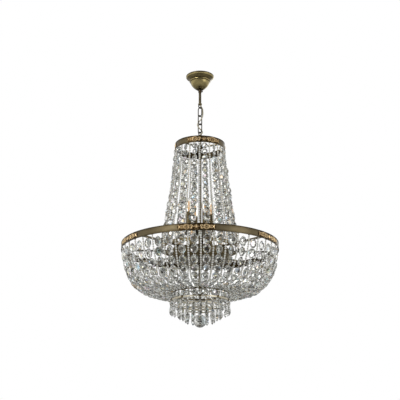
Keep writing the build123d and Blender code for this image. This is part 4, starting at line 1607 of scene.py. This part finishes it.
@dataclass
class Bowl(Strands):
    """Strands that hang from the main band and swing in to the collar ring."""

    name: str = "bowl"
    strands: int = 40
    crystals: int = 11
    start: tuple = (293.65, BAND_TOP - 21.0)
    hook: float = 14.0
    bead: float = 7.4
    pitch: float = 8.6
    turns: tuple = (0.5, 0.6)
    seeds: tuple = (21, 22)
    cut_end: tuple = (108.6, BAND_TOP - 190.0)
    bead_end: tuple = (109.4, BAND_TOP - 183.0)
    width: float = 30.0
    full_rows: int = 3
    shrink: float = 0.88
    fullness: float = 1.587
    roundness: float = 4.2

    def curve(self, radius: float, height: float) -> Curve:
        """Radius falls with the share t of the drop as (1 - t^fullness)^(1/roundness).

        Args:
            radius: radius of the lower end.
            height: height of the lower end.
        Returns:
            The string's line.
        """
        t = np.linspace(0, 1, 1500)
        t = (1 - (1 - t) ** 2)[:, None]
        inward = (1 - t**self.fullness) ** (1 / self.roundness)
        return Curve(np.concatenate([radius + (self.start[0] - radius) * inward,
                                     self.start[1] + (height - self.start[1]) * t], 1))

    def build(self) -> None:
        """Makes crystal strands, smaller from row to row, and the bead strands between them."""
        rows = np.arange(self.crystals)
        widths = self.width * self.shrink ** np.maximum(0, rows + 1 - self.full_rows)
        self.hang(widths, self.curve(*self.cut_end), self.curve(*self.bead_end))


@dataclass
class Tiers:
    """Collar of crystals and three tiers of drops on their rings, with the ball under them."""

    collar: tuple = (107.5, BAND_TOP - 187.0, 111.5, BAND_TOP - 217.0)
    rings: tuple = ((111.5, BAND_TOP - 217.0, 30), (80.0, BAND_TOP - 233.0, 20),
                    (54.0, BAND_TOP - 249.0, 12))
    drop: float = 49.0
    seed: int = 31
    ball: float = 25.0
    ball_z: float = BAND_TOP - 293.0

    def drops(self, radius: float, ring_z: float, count: int, seed: int) -> tuple:
        """Drops with a small octagon over each and a wire between octagon, ring and drop; the tips' painted
        reflections are darker.

        Args:
            radius: radius of the ring.
            ring_z: height of its top edge.
            count: drops on it.
            seed: start of the painted reflections' random draws.
        Returns:
            The drops, the octagons and the links.
        """
        r, top = radius - 1.0, ring_z - 5.0
        line = Curve(np.array([[r, top], [r, top - self.drop]]))
        row = Strings(line, np.arange(count) * 360 / count, seed)

        def hung(high: float, low: float, width: float, depth: float) -> Array:
            """Placing matrices between two depths under the ring."""
            ends = (np.array([[r, top - high]]), np.array([[r, top - low]]))
            return row.matrices(*ends, np.full(count, width), np.full(count, depth))

        pear = strung(Cut.DROP, hung(12.2, 48.8, 17.8, 10.6), seed, DROPS)
        # the tips' painted reflections are halved, a darker painted reflection at each point
        pear.facet[:count * TIP_FACETS] *= 0.5
        octagon = strung(Cut.OCTAGON, hung(0.8, 12.4, 14.0, 7.0), seed + 1, DROPS)
        links = copies(wire_link(), np.concatenate([hung(-1.2, 3.2, 1.0, 1.0), hung(9.4, 14.2, 1.0, 1.0)]))
        return pear, octagon, outward(links)

    def cross(self, radius: float, z: float) -> Solid:
        """Four flat spokes with rounded sides and a boss on the stem under a ring.

        Args:
            radius: outside radius of the ring.
            z: height of its top edge.
        Returns:
            The solid.
        """
        boss = [(6.1, z + 4.0), (8.6, z + 4.0), (9.5, z + 3.1), (9.5, z - 7.0), (8.6, z - 8.0),
                (6.1, z - 8.0)]
        parts = [turned(boss, 36)]
        for turn in (45.0, 135.0, 225.0, 315.0):
            path = polar(np.linspace(8.0, radius - 1.2, 8), turn, np.full(8, z - 1.3))
            parts.append(tube(path, 3.9, 12, False, 0.3))
        return gathered(parts)

    def clasps(self, radius: float, z: float) -> Solid:
        """Ten small folded clasps over the lower ring, each a rounded box bent round the strip.

        Args:
            radius: outside radius of the ring.
            z: height of its top edge.
        Returns:
            The solid.
        """
        corners = [(-1.6, 1.4), (-0.4, 2.0), (1.6, 2.0), (2.3, 1.2), (2.5, -4.6), (1.7, -6.6),
                   (-0.4, -6.9), (-1.6, -6.2)]
        line = np.array(corners)
        middle = line.mean(0)
        scale = np.array([0.72, 1.0, 1.0, 0.72])[:, None]
        shape = middle + (line - middle) * scale[..., None]
        made = []
        for turn in np.arange(10) * 36.0:
            across = turn + np.degrees(np.array([-4.2, -3.6, 3.6, 4.2]) / radius)
            points = polar(radius + shape[..., 0], across[:, None], z + shape[..., 1])
            faces = grid_faces(4, 8, False, True) + [tuple(range(8))[::-1], tuple(range(24, 32))]
            made.append(outward(Solid(points.reshape(-1, 3), faces)))
        return gathered(made)

    def crystal_ball(self) -> Solid:
        """Ball of flats: ten rows of sixteen, each row turned by half a step, so that flats are kites.

        Returns:
            The solid.
        """
        v = np.radians(np.linspace(82, -82, 11))[:, None]
        u = np.radians(np.arange(16) * 22.5)[None, :] + np.arange(11)[:, None] * math.radians(11.25)
        ball = np.stack([np.cos(v) * np.sin(u), -np.cos(v) * np.cos(u), np.sin(v) + 0 * u], -1)
        points = np.concatenate([ball.reshape(-1, 3), [[0, 0, 1.0], [0, 0, -1.0]]]) * (self.ball - 0.2)
        points[:, 2] = np.clip(points[:, 2], -self.ball, self.ball - 1.5) + self.ball_z - 0.1
        faces = []
        for a, b, c, d in grid_faces(11, 16, False, True):
            faces += [(b, a, d), (b, d, c)]
        top, low = 176, 177
        faces += [((i + 1) % 16, top, i) for i in range(16)]
        faces += [(160 + i, low, 160 + (i + 1) % 16) for i in range(16)]
        solid = outward(Solid(points, faces))
        solid.facet = BALL_FACETS.painted_reflections(len(faces), self.seed + 10)
        # painted light: a bluish painted reflection on the facets of the +X side and painted shade on those
        # near the bottom
        middle = solid.points[np.array(solid.faces)].mean(1)
        solid.facet *= np.where(middle[:, :1] > 4.0, [0.86, 0.94, 1.0], [1.0, 1.0, 1.0])
        solid.facet *= np.where(middle[:, 2:] < self.ball_z - 0.72 * self.ball, 0.55, 1.0)
        return solid

    def build(self) -> None:
        """Makes the rings, the collar, the drops and the ball."""
        upper, upper_z, lower, lower_z = self.collar
        bands = Bands()
        ring_a = bands.hoop(upper + 1.4, upper_z - 0.4, 5.6).joined(self.cross(upper, upper_z))
        piece("collar_ring_upper", ring_a, Finishes.BRASS, "fixture", ("upper_collar_ring",))
        ring_b = bands.hoop(lower + 0.6, lower_z, 5.0)
        piece("collar_ring_lower", ring_b, Finishes.RIM, "fixture", ("lower_collar_ring",))
        piece("collar_clasps", self.clasps(lower, lower_z), Finishes.BRASS, "fixture")
        for name, (radius, z, _) in zip(("tier_two_ring", "tier_three_ring"), self.rings[1:]):
            hoop = bands.hoop(radius + 0.2, z, 5.0, 96).joined(self.cross(radius, z))
            piece(f"{name}_hoop", hoop, Finishes.RIM, "fixture", (name,))
        line = Curve(np.array([[upper - 1.0, upper_z - 5.0], [lower - 1.0, lower_z]]))
        row = Strings(line, np.arange(30) * 12.0, self.seed)
        glass, links = row.crystals(np.array([18.0]), 1.2, 0.4)
        piece("collar_crystals_cut", glass, Finishes.CRYSTAL, "fixture", ("collar_crystals",), smooth=False)
        piece("collar_links", links, Finishes.WIRE, "fixture")
        names = ("tier_one_drops", "tier_two_drops", "tier_three_drops")
        for i, ((radius, z, count), node) in enumerate(zip(self.rings, names)):
            pear, octagon, links = self.drops(radius, z, count, self.seed + 19 + 10 * i)
            piece(f"{node}_cut", pear, Finishes.CRYSTAL, "fixture", (node,), smooth=False)
            piece(f"{node}_tops", octagon, Finishes.CRYSTAL, "fixture", smooth=False)
            piece(f"{node}_links", links, Finishes.WIRE, "fixture")
        piece("ball_cut", self.crystal_ball(), Finishes.BALL, "ball", ("crystal_ball",), smooth=False)
        dress("ball_pin", Finishes.WIRE)


# ---- stage ----------------------------------------------------------------------------------------


@dataclass
class Studio:
    """Camera at the photograph's angle, soft lights, a pale floor and a white background."""

    focal: float = 950.0
    pitch: float = 17.7
    distance: float = 3505.0
    below_band: float = 939.0
    room: float = 0.62
    behind: float = 0.30

    def camera(self) -> None:
        """Camera that looks up at the fixture, with the lens from the focal length in pixels."""
        data = bpy.data.cameras.new("photo_view")
        data.sensor_width = 36.0
        data.lens = 36.0 * self.focal / 400.0
        data.clip_end = 50.0
        view = bpy.data.objects.new("photo_view", data)
        bpy.context.scene.collection.objects.link(view)
        view.location = (0.0, -self.distance * MM, (BAND_TOP - self.below_band) * MM)
        view.rotation_euler = (math.radians(90 + self.pitch), 0.0, 0.0)
        bpy.context.scene.camera = view

    def lamp(self, name: str, place: tuple, target: tuple, size: float, watts: float) -> None:
        """A square soft light that faces a point.

        Args:
            name: the light's name.
            place: where it stands, in metres.
            target: the point that it faces, in metres.
            size: width of its square, in metres.
            watts: its power.
        """
        data = bpy.data.lights.new(name, "AREA")
        data.size = size
        data.energy = watts
        light = bpy.data.objects.new(name, data)
        bpy.context.scene.collection.objects.link(light)
        light.location = place
        light.rotation_euler = (Vector(target) - Vector(place)).to_track_quat("-Z", "Y").to_euler()

    def world(self) -> None:
        """White where the camera and glass look, and a greyer room for light and for metal.

        Metal sees the room darker towards the middle, where the camera stands, and white at both sides.
        """
        world = bpy.data.worlds.new("studio")
        bpy.context.scene.world = world
        tree = Tree(world)
        seen, mirrored, through = (tree.node("ShaderNodeLightPath", output=f"Is {ray} Ray")
                                   for ray in ("Camera", "Glossy", "Transmission"))
        strength = seen.largest(mirrored).largest(through) * (1.0 - self.room) + self.room
        way = tree.node("ShaderNodeTexCoord", output="Generated")
        side = tree.node("ShaderNodeSeparateXYZ", inputs={0: way}, output="X").size()
        walls = side.ramp(0.12, 0.75) * (1.0 - self.behind) + self.behind
        colour = tree.mix(mirrored, (1.0, 1.0, 1.0), walls)
        sky = tree.node("ShaderNodeBackground", inputs={"Color": colour, "Strength": strength})
        tree.node("ShaderNodeOutputWorld", inputs={"Surface": sky})

    def floor(self) -> None:
        """Pale floor far below, with a faint mottle in its colour and roughness."""
        mesh = bpy.data.meshes.new("floor")
        size, z = 9.0, -2.9
        corners = [(-size, -size, z), (size, -size, z), (size, size, z), (-size, size, z)]
        mesh.from_pydata(corners, [], [(0, 1, 2, 3)])
        tree = Shader("floor_pale")
        cloud = tree.noise(1.4, 4.0)
        colour = tree.mix(cloud, (0.90, 0.90, 0.90), (0.94, 0.94, 0.94))
        mesh.materials.append(tree.surface(Base_Color=colour, Roughness=cloud * 0.1 + 0.75))
        made = bpy.data.objects.new("floor", mesh)
        bpy.context.scene.collection.objects.link(made)

    def build(self) -> None:
        """Sets up camera, lights, floor and world."""
        bpy.context.scene.view_settings.view_transform = "Standard"
        self.camera()
        middle = (0.0, 0.0, -0.6)
        self.lamp("key", (-2.2, -2.6, 0.9), middle, 1.6, 34.0)
        self.lamp("fill", (2.6, -2.0, -0.4), middle, 2.0, 16.0)
        self.lamp("back", (0.6, 2.6, 0.3), middle, 1.8, 16.0)
        self.floor()
        self.world()


def main() -> None:
    """Builds every sub-assembly in order."""
    logging.basicConfig(level=logging.INFO, format="%(message)s")
    builders = (Studio(), CeilingFixing(), Canopy(), Suspension(), Bands(), Castings(), Lamps(), Neck(),
                Bowl(), Tiers())
    for builder in builders:
        LOG.info("building %s", type(builder).__name__)
        builder.build()
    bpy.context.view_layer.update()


if __name__ == "__main__":
    main()
